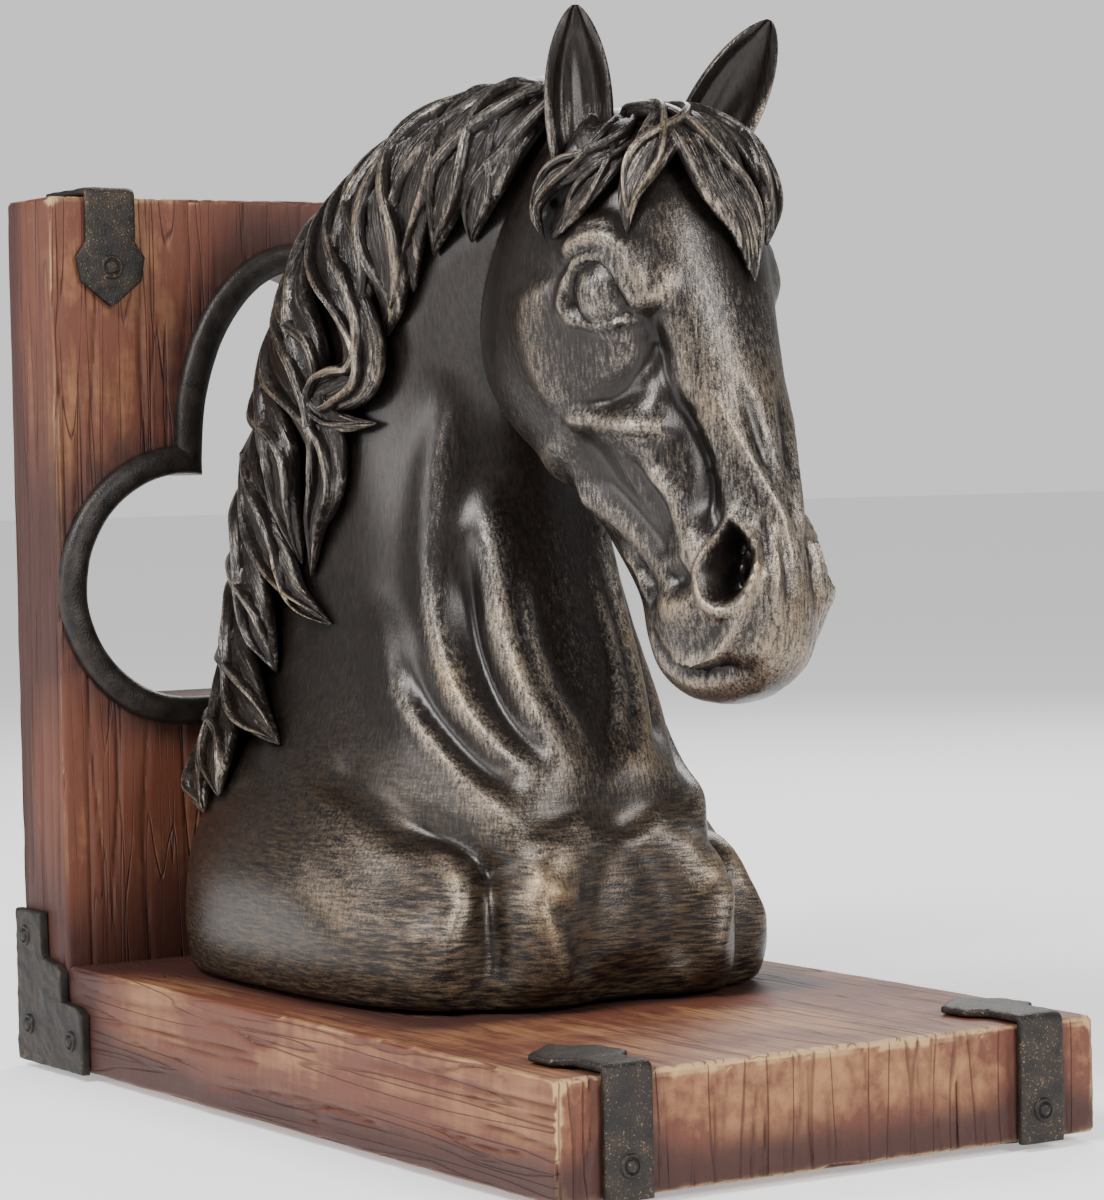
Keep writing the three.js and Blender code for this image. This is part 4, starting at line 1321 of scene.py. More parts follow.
@dataclass
class UprightBoard(Board):
    """The standing board, grooved from top to bottom, with the trefoil window cut through."""

    node: ClassVar[str] = "upright_panel"
    grain: ClassVar[Point] = (1.0, 1.0, 0.09)
    end_grain: ClassVar[Point] = (0.3, 1.0, 1.0)
    lines: ClassVar[ScoredLines] = ((230.0, (1.0, 1.0, 0.035)), (160.0, (0.9, 1.0, 0.06)))
    window: "Trefoil | None" = None
    cutter_over: float = 4.0  # how far the window's cutter stands out of each face
    rim_fade: float = 6.5
    rim_points: int = 4

    def burnt_and_shaded(self, points: Array, normals: Array) -> Array:
        """Adds darkening round the rim, under the top edge and towards the back face, and painted shade: the
        bust's shadow low on the broad faces and the narrow sides darker by how they face the light.

        Args:
            points: places in stand millimetres.
            normals: outward directions there.
        Returns:
            Darkness at each point.
        """
        x, y, z = points.T
        away = np.full(len(points), np.inf)
        for across, up in self.window.outline(self.window.rim_width, self.rim_points):
            away = np.minimum(away, np.hypot(y - across, z - up))
        dark = super().burnt_and_shaded(points, normals)
        dark += np.exp(-away / self.rim_fade) * (x > 4.0)
        # Painted shade low on the broad faces: the bust's shadow and the corner with the base.
        inner = smoothstep(STAND.side, 20.0, np.abs(y)) * np.abs(normals[:, 0])
        dark += (0.3 + 0.8 * inner) * smoothstep(60.0, 22.0, z)
        dark += 0.8 * smoothstep(10.0, 0.0, x)
        # Painted shade: the narrow sides darker by how they face the light.
        dark += 0.35 * np.abs(normals[:, 1])
        high = STAND.height
        dark += 0.35 * smoothstep(30.0, 12.0, np.abs(y)) * smoothstep(high - 40, high - 12, z)
        return dark

    def carved_faces(self) -> list[tuple[str, int, Grooves]]:
        """Returns: the grooves of both broad faces, the narrow sides and the top edge."""
        rise = 0.0, self.high[2]
        faces = [Grooves(seed, 60, rise, (-58, 58), slope=0.008, wave=0.7, deep=(0.12, 0.45),
                         wide=(0.32, 0.5), length=(30, 110)) for seed in (41, 42)]
        flank = Grooves(51, 15, rise, (1.5, 20.5), slope=0.003, wave=0.4, deep=(0.15, 0.5),
                        wide=(0.4, 0.8), length=(60, 180))
        top = Grooves(52, 26, (0.0, 22.0), (-57, 57), slope=0.02, wave=0.4, deep=(0.1, 0.4),
                      wide=(0.4, 0.7), length=(12, 30))
        return [("xzy", 1, faces[0]), ("xzy", -1, faces[1]), ("yzx", 0, flank), ("zxy", 1, top)]

    def cut(self, made: Piece) -> Piece:
        """Returns: the board with the trefoil cut through it."""
        cutter = self.window.prism(-self.cutter_over, STAND.thick + self.cutter_over)
        return combine(made, [cutter], "DIFFERENCE")


@dataclass
class Trefoil:
    """The window's outline and the raised band round it."""

    top_half: float = 25.0
    top_centre: float = 128.0
    top_peak: float = 168.0
    side_offset: float = 29.0
    side_centre: float = 101.0
    side_radius: float = 23.7
    rim_width: float = 6.2
    rim_proud: float = 2.6
    rim_waves: tuple[Point, ...] = ((0.45, 7.0, 5.0), (0.25, 2.5, 6.0))

    def outline(self, grow: float, density: int) -> Array:
        """The trefoil widened by grow: side lobe, top lobe, the other side lobe and the sill.

        Args:
            grow: millimetres outwards all round.
            density: points on each straight stretch; arcs have four or five times as many.
        Returns:
            Points of across and height, without a repeated end.
        """
        half = self.top_half + grow
        radius = self.side_radius + grow
        inward = half - self.side_offset
        notch = self.side_centre + np.sqrt(radius ** 2 - inward ** 2)
        springing = max(self.top_centre, notch)
        turn = np.arctan2(notch - self.side_centre, inward)
        rise = self.top_peak + grow - springing

        def arc(x: float, z: float, a: float, b: float, start: float, end: float, count: int) -> Array:
            """Returns: points on an ellipse's arc."""
            angle = np.linspace(start, end, count)
            return np.stack([x + a * np.cos(angle), z + b * np.sin(angle)], axis=-1)

        steps = np.linspace(0.0, 1.0, density)[1:-1, None]
        lobe = self.side_centre, radius, radius
        right = arc(self.side_offset, *lobe, -np.pi / 2, turn, 4 * density)
        top = arc(0.0, springing, half, rise, 0.0, np.pi, 5 * density)
        left = arc(-self.side_offset, *lobe, np.pi - turn, 1.5 * np.pi, 4 * density)
        jamb = right[-1] + (top[0] - right[-1]) * steps
        other = top[-1] + (left[0] - top[-1]) * steps
        sill = left[-1] + (right[0] - left[-1]) * steps
        return np.concatenate([right, jamb, top, other, left, sill])

    def prism(self, start: float, end: float) -> Form:
        """The outline carried straight through.

        Args:
            start: the x of one end.
            end: the x of the other.
        Returns:
            The prism.
        """
        flat = self.outline(0.0, 12)
        rings = [np.column_stack([np.full(len(flat), x), flat]) for x in (start, end)]
        return loft(np.stack(rings))

    def band(self) -> Form:
        """The raised rim: a worn rounded profile carried round the trefoil's outline.

        Returns:
            The rim.
        """
        turn = np.linspace(0.0, np.pi, 15)
        grow = self.rim_width / 2 * (1.0 - np.cos(turn))
        rise = self.rim_proud * np.sin(turn) ** 0.6
        grow = np.concatenate([grow, [self.rim_width * 0.66, self.rim_width * 0.33]])  # its flat back
        rise = np.concatenate([rise, [0.0, 0.0]])
        loops = []
        for out, up in zip(grow, rise):
            flat = self.outline(float(out), 16)
            loops.append(np.column_stack([np.full(len(flat), STAND.thick + up), flat]))
        rings = np.stack(loops, axis=1)
        rings[..., 0] += wear(rings, *self.rim_waves) * (rise > 0.2)
        return closed_band(rings)


def closed_band(rings: Array) -> Form:
    """A band through rings, its last ring joined to its first.

    Args:
        rings: an array of ring, point round the ring, and coordinate.
    Returns:
        The band.
    """
    count, around = rings.shape[:2]
    i = np.arange(count)[:, None]
    j = np.arange(around)[None, :]
    i_next, j_next = (i + 1) % count, (j + 1) % around
    quads = np.stack(np.broadcast_arrays(
        i * around + j, i * around + j_next, i_next * around + j_next, i_next * around + j), axis=-1)
    return Form(rings, quads, np.empty((0, 3), int))


RIVET_SEAT = 0.9  # share of the plate's thickness at which a rivet's collar starts
RIVET_PROFILE = (  # share of the radius, and millimetres up
    (0.0, 1.0), (0.25, 0.95), (0.45, 0.75), (0.56, 0.35), (0.64, 0.3),
    (0.72, 0.55), (0.84, 0.62), (0.95, 0.45), (1.02, 0.05), (1.0, -0.6),
)


@dataclass
class Strap:
    """A flat iron strap bent over a board's edge, its width following a list of stations.

    The route is in the plane across the edge; the section is a thin rounded bar.
    """

    name: str
    corner: Point  # x and z of the board's edge that the strap bends over
    middle: float  # y of the strap's middle
    face: float  # length down the face
    reach: float  # length back over the top
    face_widths: tuple[Point, ...]  # share of the face leg and half width
    top_widths: tuple[Point, ...]
    rivet: Point  # distance down the face, ring radius
    plate: float = 1.8
    rows: tuple[int, int, int] = (90, 9, 80)  # rings down the face, round the bend, over the top
    around: int = 40
    square: Point = (0.35, 0.5)  # powers that square the section across and through
    waves: tuple[Point, ...] = ((0.3, 3.2, 9.0), (0.2, 1.3, 4.0))

    def build(self) -> Piece:
        """Carries the section along the route, beats its outer side and adds the rivet.

        Returns:
            The strap's object.
        """
        x, z = self.corner
        face_rows, bend_rows, top_rows = self.rows
        bend = np.linspace(0.0, np.pi / 2, bend_rows)
        down = np.linspace(1.0, 0.0, face_rows)
        back = np.linspace(0.0, 1.0, top_rows)
        half = self.plate / 2
        route = np.concatenate([
            np.column_stack([np.full(face_rows, x + half), z - down * self.face]),
            np.column_stack([x + half * np.cos(bend), z + half * np.sin(bend)])[1:-1],
            np.column_stack([x - back * self.reach, np.full(top_rows, z + half)]),
        ])
        normal = np.concatenate([
            np.tile([1.0, 0.0], (face_rows, 1)),
            np.column_stack([np.cos(bend), np.sin(bend)])[1:-1],
            np.tile([0.0, 1.0], (top_rows, 1)),
        ])
        faces = np.interp(down, *np.array(self.face_widths).T)
        tops = np.interp(back, *np.array(self.top_widths).T)
        wide = np.concatenate([faces, np.full(bend_rows - 2, faces[-1]), tops])
        turn = circle(self.around)
        c, s = power(np.cos(turn), self.square[0]), power(np.sin(turn), self.square[1])
        rings = np.empty((len(route), self.around, 3))
        rings[..., 0] = route[:, :1] + normal[:, :1] * s * half
        rings[..., 1] = self.middle + c * wide[:, None]
        rings[..., 2] = route[:, 1:] + normal[:, 1:] * s * half
        outer = (s > 0.3)[None, :, None]
        beaten = wear(rings, *self.waves)
        rings += outer * beaten[..., None] * np.insert(normal, 1, 0.0, axis=1)[:, None]
        drop, radius = self.rivet
        place = x + self.plate * RIVET_SEAT, self.middle, z - drop
        rivet = rivet_form(place, (1, 0, 0), radius)
        return combine(loft(rings).object(self.name), [rivet], "UNION")


def turned(profile: Array, around: int, place: Point, axes: tuple[Array, Array, Array]) -> Form:
    """A profile turned about an axis: each of its points goes round in a ring.

    Args:
        profile: distance from the axis and height along it, in millimetres.
        around: points in a ring.
        place: where height 0 is on the axis.
        axes: unit directions along the axis and two square to it.
    Returns:
        The turned body.
    """
    along, side, other = axes
    turn = circle(around)[:, None]
    spokes = np.cos(turn) * side + np.sin(turn) * other
    return loft(np.array(place) + profile[:, :1, None] * spokes + profile[:, 1:, None] * along)


def rivet_form(place: Point, axis: Point, radius: float) -> Form:
    """A ringed rivet: a low dome in a shallow groove inside a round collar, a turned profile.

    Args:
        place: the middle of its collar.
        axis: the way it stands.
        radius: the collar's radius in millimetres.
    Returns:
        The rivet.
    """
    out = unit(np.array(axis, float))
    side = unit(np.cross(out, (0.3, 0.5, 0.81)))
    profile = flowing(RIVET_PROFILE, 40)[1:] * (radius, 1.0)
    return turned(profile, 36, place, (out, side, np.cross(out, side)))


@dataclass
class Bracket:
    """A corner bracket on a side face: a beaten plate whose upper edge comes down in steps."""

    name: str
    side: float
    run: float = 32.0
    rise: float = 32.5
    plate: float = 1.8
    steps: tuple[Point, ...] = (
        (0, 0), (1, 0), (1, 0.385), (0.906, 0.431), (0.6875, 0.446), (0.6875, 0.631),
        (0.625, 0.677), (0.406, 0.708), (0.3875, 1), (0, 1),
    )
    rivets: tuple[Point, ...] = ((0.156, 0.831), (0.1875, 0.246), (0.831, 0.203))
    rivet_radius: float = 2.2
    around: int = 240
    face_rings: int = 34
    bevel: tuple[Point, ...] = ((1.0, 0.0), (1.0, 0.7), (0.995, 0.88), (0.985, 0.96), (0.965, 1.0))
    waves: tuple[Point, ...] = ((0.35, 3.5, 12.0), (0.25, 1.4, 13.0))

    def build(self) -> Piece:
        """The outline is stepped evenly, then drawn in towards a heart point in rings: over
        the bevel first, then across the face.

        Returns:
            The bracket's object.
        """
        outline = np.array(self.steps) * (self.run, self.rise)
        closed = np.vstack([outline, outline[:1]])
        lengths = np.concatenate([[0.0], np.cumsum(np.linalg.norm(np.diff(closed, axis=0), axis=1))])
        at = np.linspace(0.0, lengths[-1], self.around, endpoint=False)
        edge = np.column_stack([np.interp(at, lengths, closed[:, k]) for k in range(2)])
        heart = np.array([0.3, 0.3]) * (self.run, self.rise)
        bevel_in, bevel_up = np.array(self.bevel).T
        inward = np.concatenate([bevel_in, np.linspace(0.94, 0.02, self.face_rings)])
        height = np.concatenate([bevel_up, np.ones(self.face_rings)]) * self.plate
        flat = heart + (edge - heart)[None] * inward[:, None, None]
        rings = np.empty((len(inward), len(edge), 3))
        rings[..., 0] = flat[..., 0]
        rings[..., 2] = flat[..., 1]
        rings[..., 1] = height[:, None]
        rings[..., 1] += wear(rings, *self.waves) * (height > 0.5 * self.plate)[:, None]
        rings[..., 1] = self.side * (STAND.side + rings[..., 1])
        seat = self.side * (STAND.side + self.plate * RIVET_SEAT)
        places = [(run * self.run, seat, rise * self.rise) for run, rise in self.rivets]
        rivets = [rivet_form(place, (0, self.side, 0), self.rivet_radius) for place in places]
        return combine(loft(rings).object(self.name), rivets, "UNION")


PAD_PROFILE = (  # share of the radius, and share of the height
    (0.02, 0.0), (0.6, 0.0), (0.93, 0.02), (1.0, 0.25), (1.0, 0.8), (0.96, 1.0), (0.02, 1.0),
)


def foot_form(x: float, y: float, radius: float, height: float) -> Form:
    """A soft-edged round pad under the base, a turned profile.

    Args:
        x: its middle along the stand, in millimetres.
        y: its middle across.
        radius: its radius.
        height: its height.
    Returns:
        The pad.
    """
    profile = (flowing(PAD_PROFILE, 30) - (0.0, 1.0)) * (radius, height)
    side, other, up = np.eye(3)
    return turned(profile, 48, (x, y, 0.0), (up, side, other))


Value = Union["Wire", float]


class Wire:
    """A value in a material that builds Math nodes from Python's operators."""

    def __init__(self, paint: "Paint", socket: bpy.types.NodeSocket) -> None:
        """Keeps the socket and the paint it belongs to."""
        self.paint = paint
        self.socket = socket

    def math(self, operation: str, *values: Value, clamp: bool = False) -> "Wire":
        """Returns: the result of one Math node."""
        inputs = dict(enumerate(values))
        return self.paint.node("ShaderNodeMath", {"operation": operation, "use_clamp": clamp}, inputs)

    def __add__(self, other: Value) -> "Wire":
        """Sum."""
        return self.math("ADD", self, other)

    __radd__ = __add__

    def __sub__(self, other: Value) -> "Wire":
        """Difference."""
        return self.math("SUBTRACT", self, other)

    def __rsub__(self, other: float) -> "Wire":
        """Difference, reflected."""
        return self.math("SUBTRACT", other, self)

    def __mul__(self, other: Value) -> "Wire":
        """Product."""
        return self.math("MULTIPLY", self, other)

    __rmul__ = __mul__

    def most(self, other: Value) -> "Wire":
        """Larger of two values."""
        return self.math("MAXIMUM", self, other)

    def clamped(self) -> "Wire":
        """The value kept between 0 and 1."""
        return self.math("ADD", self, 0.0, clamp=True)

    def contour(self, level: float, width: float) -> "Wire":
        """1 where the value is at a level, falling to 0 over a width: thin winding lines."""
        return self.math("ABSOLUTE", self - level).step(width, 0.0)

    def step(self, low: float, high: float) -> "Wire":
        """A smooth step.

        Args:
            low: where the result starts to leave 0.
            high: where it reaches 1.
        Returns:
            From 0 to 1.
        """
        settings = {"interpolation_type": "SMOOTHSTEP"}
        inputs = {"Value": self, "From Min": low, "From Max": high, "To Min": 0.0, "To Max": 1.0}
        return self.paint.node("ShaderNodeMapRange", settings, inputs, "Result")


class Paint:
    """A procedural material under construction."""

    def __init__(self, name: str) -> None:
        """Starts a material with one Principled shader.

        Args:
            name: the material's name.
        """
        self.material = bpy.data.materials.new(name)
        self.material.use_nodes = True
        self.tree = self.material.node_tree
        self.shader = self.tree.nodes["Principled BSDF"]
        self.place = self.node("ShaderNodeTexCoord", {}, {}, "Object")

    def node(self, kind: str, settings: dict, inputs: dict, output: str | int = 0) -> Wire:
        """Adds a node.

        Args:
            kind: the node's type.
            settings: its properties, set first.
            inputs: values or wires by socket name or number.
            output: which output to hand back.
        Returns:
            A wire from that output.
        """
        made = self.tree.nodes.new(kind)
        for key, value in settings.items():
            setattr(made, key, value)
        for key, value in inputs.items():
            self.feed(made.inputs[key], value)
        return Wire(self, made.outputs[output])

    def feed(self, socket: bpy.types.NodeSocket, value: "Value | Point") -> None:
        """Links a wire to a socket, or sets a constant on it.

        Args:
            socket: the input to fill.
            value: a wire, a number or a colour, which is made opaque.
        """
        if isinstance(value, Wire):
            self.tree.links.new(value.socket, socket)
        else:
            socket.default_value = (*value, 1.0) if socket.type == "RGBA" else value

    def attribute(self, name: str) -> Wire:
        """Returns: a value kept on the piece's vertices."""
        return self.node("ShaderNodeAttribute", {"attribute_name": name}, {}, "Fac")

    def stretched(self, scale: Point) -> Wire:
        """Returns: object coordinates scaled by axis."""
        return self.node("ShaderNodeMapping", {}, {"Vector": self.place, "Scale": scale})

    def noise(self, scale: float, detail: float = 4.0, rough: float = 0.5, where: Wire | None = None) -> Wire:
        """Adds a noise texture.

        Args:
            scale: features in a metre.
            detail: how many finer layers it has.
            rough: how strong the finer layers are.
            where: its coordinates, the object's own where none are given.
        Returns:
            Noise from 0 to 1.
        """
        inputs = {"Vector": where or self.place, "Scale": scale, "Detail": detail, "Roughness": rough}
        return self.node("ShaderNodeTexNoise", {}, inputs, "Fac")

    def mix(self, share: Value, under: Wire | Colour, over: Wire | Colour) -> Wire:
        """Returns: two colours mixed."""
        inputs = {0: share, 6: under, 7: over}  # the factor and the two colours
        return self.node("ShaderNodeMix", {"data_type": "RGBA"}, inputs, 2)

    def bump(self, height: Wire, distance: float, strength: float = 1.0) -> Wire:
        """Returns: a normal raised by height times distance in metres."""
        inputs = {"Height": height, "Distance": distance, "Strength": strength}
        return self.node("ShaderNodeBump", {}, inputs, "Normal")

    def finish(self, **values: "Value | Colour") -> bpy.types.Material:
        """Sets the shader's inputs.

        Args:
            values: what each input gets, its name written with _ for a space.
        Returns:
            The finished material.
        """
        for key, value in values.items():
            self.feed(self.shader.inputs[key.replace("_", " ")], value)
        return self.material


@dataclass(frozen=True)
class BronzePaint:
    """Dark bronze paint over the cast, rubbed back to silver and brass where it stands out, with a painted
    highlight of more silver on the lit front.
    """

    dark: Colour = (0.007, 0.0055, 0.0052)
    brown: Colour = (0.026, 0.018, 0.0145)
    silver: Colour = (0.46, 0.405, 0.345)
    brass: Colour = (0.38, 0.25, 0.12)
    ochre: Colour = (0.15, 0.095, 0.045)
    pit: Colour = (0.006, 0.0047, 0.0043)
    grain_scale: float = 2600.0
    stroke_scale: float = 1700.0
    stroke_shape: Point = (1.0, 1.0, 0.2)  # upright brush strokes on the neck and head
    level_scale: float = 1100.0
    level_shape: Point = (0.22, 0.22, 1.6)  # level ones on the chest
    patch_scale: float = 38.0
    strand_shape: Point = (1.5, 0.07, 1.0)
    hair_from: Point = (4.0, 8.0)  # millimetres along a lock; bare skin has 0
    level_below: Point = (0.09, 0.025)  # metres of height over which strokes turn level
    foot_below: Point = (0.022, 0.05)
    grit: Point = (1.5, 2.3, 0.9)  # weights of grain, strokes and patches
    stand: Point = (0.36, 0.165, 0.38, 0.12)  # of small rises, broad rises, the front's painted highlight and hair
    stand_band: Point = (-0.25, 1.35)
    strand_light: float = 2.1
    silver_band: Point = (0.3, 1.35)
    warmth: Point = (3.4, 0.45, 0.9)  # weights of patches, level strokes and rises
    bump_height: float = 0.00024

    def material(self) -> bpy.types.Material:
        """Silver shows where rises, grit, strands and the front's painted highlight together pass a band;
        hollows stay dark.

        Returns:
            The paint, reading how far the surface stands out and the hair's strands.
        """
        paint = Paint("aged_bronze_paint")
        raised, swell, front_highlight = (paint.attribute(key) for key in ("raised", "swell", "front_highlight"))
        hair = paint.node("ShaderNodeUVMap", {"uv_map": "hair"}, {})
        is_hair = paint.node("ShaderNodeSeparateXYZ", {}, {0: hair}, "Y").step(*self.hair_from)
        strand = paint.noise(1.0, 3.0, 0.6, paint.node(
            "ShaderNodeMapping", {}, {"Vector": hair, "Scale": self.strand_shape}))
        grain = paint.noise(self.grain_scale, 2.0, 0.7)
        strokes = paint.noise(self.stroke_scale, 4.0, 0.65, paint.stretched(self.stroke_shape))
        level = paint.noise(self.level_scale, 4.0, 0.65, paint.stretched(self.level_shape))
        patches = paint.noise(self.patch_scale, 3.0, 0.5)
        height = paint.node("ShaderNodeSeparateXYZ", {}, {0: paint.place}, "Z")
        low = (height + (patches - 0.5) * 0.07).step(*self.level_below)
        brush = strokes + (level - strokes) * low
        by_grain, by_brush, by_patch = self.grit
        grit = (grain - 0.5) * by_grain + (brush - 0.5) * by_brush + (patches - 0.5) * by_patch
        small, broad, by_front_highlight, soft = self.stand
        stands = raised * small + swell * broad + front_highlight * (1.0 - is_hair) * by_front_highlight - is_hair * soft
        stands = stands.step(*self.stand_band) * (height.step(*self.foot_below) * 0.7 + 0.3)
        lines = (strand - 0.5) * is_hair * self.strand_light
        silver = (stands + grit * (stands * 0.8 + 0.15) + lines).step(*self.silver_band)
        pits = (raised * -1.0).step(0.1, 0.8)
        by_patch, by_level, by_rise = self.warmth
        warm = ((patches - 0.45) * by_patch + low * by_level + (stands - 0.5) * by_rise).clamped()
        ground = paint.mix(((brush - 0.36) * 3.0).clamped(), self.dark, self.brown)
        ground = paint.mix(low * ((brush - 0.42) * 5.0).clamped() * 0.4, ground, self.ochre)
        metal = paint.mix(warm * 0.8, self.silver, self.brass)
        colour = paint.mix(pits * 0.8, paint.mix(silver * 0.8, ground, metal), self.pit)
        relief = (grain * 0.5 + brush * 0.5) * (stands * 0.9 + low * 0.35 + 0.15) + strand * is_hair * 3.0
        return paint.finish(
            Base_Color=colour, Metallic=0.45 + silver * 0.4,
            Roughness=0.235 + grain * 0.12 + silver * 0.09,
            Normal=paint.bump(relief, self.bump_height, 0.9))


@dataclass(frozen=True)
class WoodPaint:
    """Carved board painted red-brown, rubbed pale on its edges and dark in its cuts."""

    red: Colour = (0.115, 0.036, 0.019)
    tan: Colour = (0.30, 0.145, 0.062)
    pale: Colour = (0.52, 0.345, 0.165)
    # Burns and painted shade share this dark colour.
    burn_and_shade: Colour = (0.034, 0.0105, 0.008)
    cut: Colour = (0.07, 0.024, 0.014)
    fibre_scale: float = 300.0
    cross_scale: float = 380.0
    cloud_scale: float = 30.0
    line_widths: Point = (0.016, 0.012)
    line_gaps: Point = (0.3, 0.55)  # cloud over which the scored lines come in
    end_lines: Point = (190.0, 0.02)  # scale and width of the lines on an end face
    end_shape: Point = (1.0, 1.0, 0.07)
    rub: Point = (3.2, 2.6, 0.8, 0.5)  # weights of cloud, fibre, cross grain, and burns with painted shade
    edge: Point = (2.4, 1.2, 1.4, 0.84)  # weights of rises, fibre and cloud, and the start
    bump_height: float = 0.0005

    def material(self, name: str, grain: Point, end_grain: Point,
                 lines: ScoredLines) -> bpy.types.Material:
        """Red paint rubbed to tan, paler on raised edges, with scored lines, burns and painted shade.

        Args:
            name: the material's name.
            grain: scales that stretch the grain on the faces.
            end_grain: scales that stretch it on the ends.
            lines: the two patterns of scored lines, each with its scale and stretch.
        Returns:
            The board's paint.
        """
        paint = Paint(name)
        raised, carved, burnt_and_shaded, ended = (
            paint.attribute(key) for key in ("raised", "carved", "burnt_and_shaded", "ended"))
        fibre = paint.noise(self.fibre_scale, 8.0, 0.65, paint.stretched(grain))
        cross = paint.noise(self.cross_scale, 5.0, 0.6, paint.stretched(end_grain))
        cloud = paint.noise(self.cloud_scale, 4.0, 0.55)
        near, far = (
            paint.noise(scale, 1.0, 0.5, paint.stretched(stretch)).contour(0.5, width)
            for (scale, stretch), width in zip(lines, self.line_widths))
        scale, width = self.end_lines
        across = paint.noise(scale, 1.0, 0.5, paint.stretched(self.end_shape)).contour(0.5, width)
        scored = near.most(far) * cloud.step(*self.line_gaps) * (1.0 - ended) + across * ended
        by_cloud, by_fibre, by_cross, by_burn_and_shade = self.rub
        rub = ((cloud - 0.45) * by_cloud + (fibre - 0.5) * by_fibre + (cross - 0.5) * by_cross
               - burnt_and_shaded * by_burn_and_shade).clamped()
        by_rise, by_fibre, by_cloud, start = self.edge
        edge = (raised * by_rise + (fibre - 0.5) * by_fibre + (cloud - 0.5) * by_cloud - start).step(0.0, 0.6)
        colour = paint.mix(edge * 0.7, paint.mix(rub, self.red, self.tan), self.pale)
        colour = paint.mix((carved * 2.2).clamped().most(scored) * 0.75, colour, self.cut)
        # Burns and painted shade darken the paint here.
        burn_and_shade = (burnt_and_shaded + (cloud - 0.5) * 0.7 + (fibre - 0.5) * 0.5).step(0.1, 0.9)
        relief = fibre * 0.5 + cross * 0.3 - scored * 0.8
        return paint.finish(
            Base_Color=paint.mix(burn_and_shade * 0.9, colour, self.burn_and_shade), Roughness=0.46 + fibre * 0.2,
            Normal=paint.bump(relief, self.bump_height, 0.8), Specular_IOR_Level=0.35)


@dataclass(frozen=True)
class IronPaint:
    """Rough black iron with tiny brass flecks rubbed onto its high places."""

    dark: Colour = (0.010, 0.008, 0.007)
    brown: Colour = (0.032, 0.022, 0.016)
    fleck: Colour = (0.36, 0.25, 0.13)
    speck_scale: float = 2400.0
    broad_scale: float = 240.0
    bump_height: float = 0.0005

    def material(self, name: str, flecks: float, shine: float) -> bpy.types.Material:
        """Flecks show where fine specks, broad patches and rises together pass a band.

        Args:
            name: the material's name.
            flecks: how many flecks show.
            shine: its least roughness.
        Returns:
            The iron's paint.
        """
        paint = Paint(name)
        speck = paint.noise(self.speck_scale, 2.0, 0.6)
        broad = paint.noise(self.broad_scale, 4.0, 0.6)
        fine = (speck - 0.57) * 6.0 * flecks
        rubbed = (paint.attribute("raised") * 0.25 + fine + (broad - 0.5) * 1.6 - 0.25).step(0.1, 0.8)
        colour = paint.mix(((broad - 0.4) * 3.0).clamped(), self.dark, self.brown)
        normal = paint.bump(speck * 0.4 + broad * 0.6, self.bump_height, 0.45 + 0.45 * flecks)
        return paint.finish(
            Base_Color=paint.mix(rubbed * 0.6, colour, self.fleck), Metallic=0.4 + rubbed * 0.4,
            Roughness=shine + broad * 0.2, Normal=normal)


@dataclass(frozen=True)
class PadRubber:
    """Plain black rubber of the feet."""

    dark: Colour = (0.012, 0.011, 0.010)
    dusty: Colour = (0.03, 0.028, 0.026)
    bump_height: float = 0.0002

    def material(self) -> bpy.types.Material:
        """Returns: a matt dark rubber with fine grain."""
        paint = Paint("pad_rubber")
        grain = paint.noise(900.0, 4.0, 0.6)
        return paint.finish(
            Base_Color=paint.mix(grain, self.dark, self.dusty), Roughness=0.7 + grain * 0.2,
            Normal=paint.bump(grain, self.bump_height))


class Slot(Enum):
    """The record's material slots."""

    WOOD = "wood_board"
    BRONZE = "bronze_cast"
    RIM = "rim_bronze"
    IRON = "dark_iron"
    PAD = "foot_pad"


def dress(piece: Piece, material: bpy.types.Material, node: str,
          sharp: float = 55.0) -> None:
    """Gives a piece its finish, its smooth shading and its place in the frame.

    Args:
        piece: the finished object.
        material: its only material.
        node: the node it stands for.
        sharp: edges over this many degrees stay sharp.
    """
    piece.data.materials.clear()
    piece.data.materials.append(material)
    piece.data.shade_smooth()
    piece.data.set_sharp_from_angle(angle=float(np.radians(sharp)))
    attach(piece, "root")
    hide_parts(node)
    LOG.info("%s: %d faces", piece.name, len(piece.data.polygons))


def build_boards(window: Trefoil) -> None:
    """Makes and paints both boards.

    Args:
        window: the trefoil that is cut through the upright.
    """
    side, thick = STAND.side, STAND.thick
    paint = WoodPaint()
    base = BaseBoard("base_wood", (thick, -side, 0.0), (STAND.run, side, thick), (1.5, 0.62, 0.55))
    base.finish(paint)
    upright = UprightBoard(
        "upright_wood", (0.0, -side, 0.0), (thick, side, STAND.height), (0.55, 0.62, 1.5), window=window)
    upright.finish(paint)


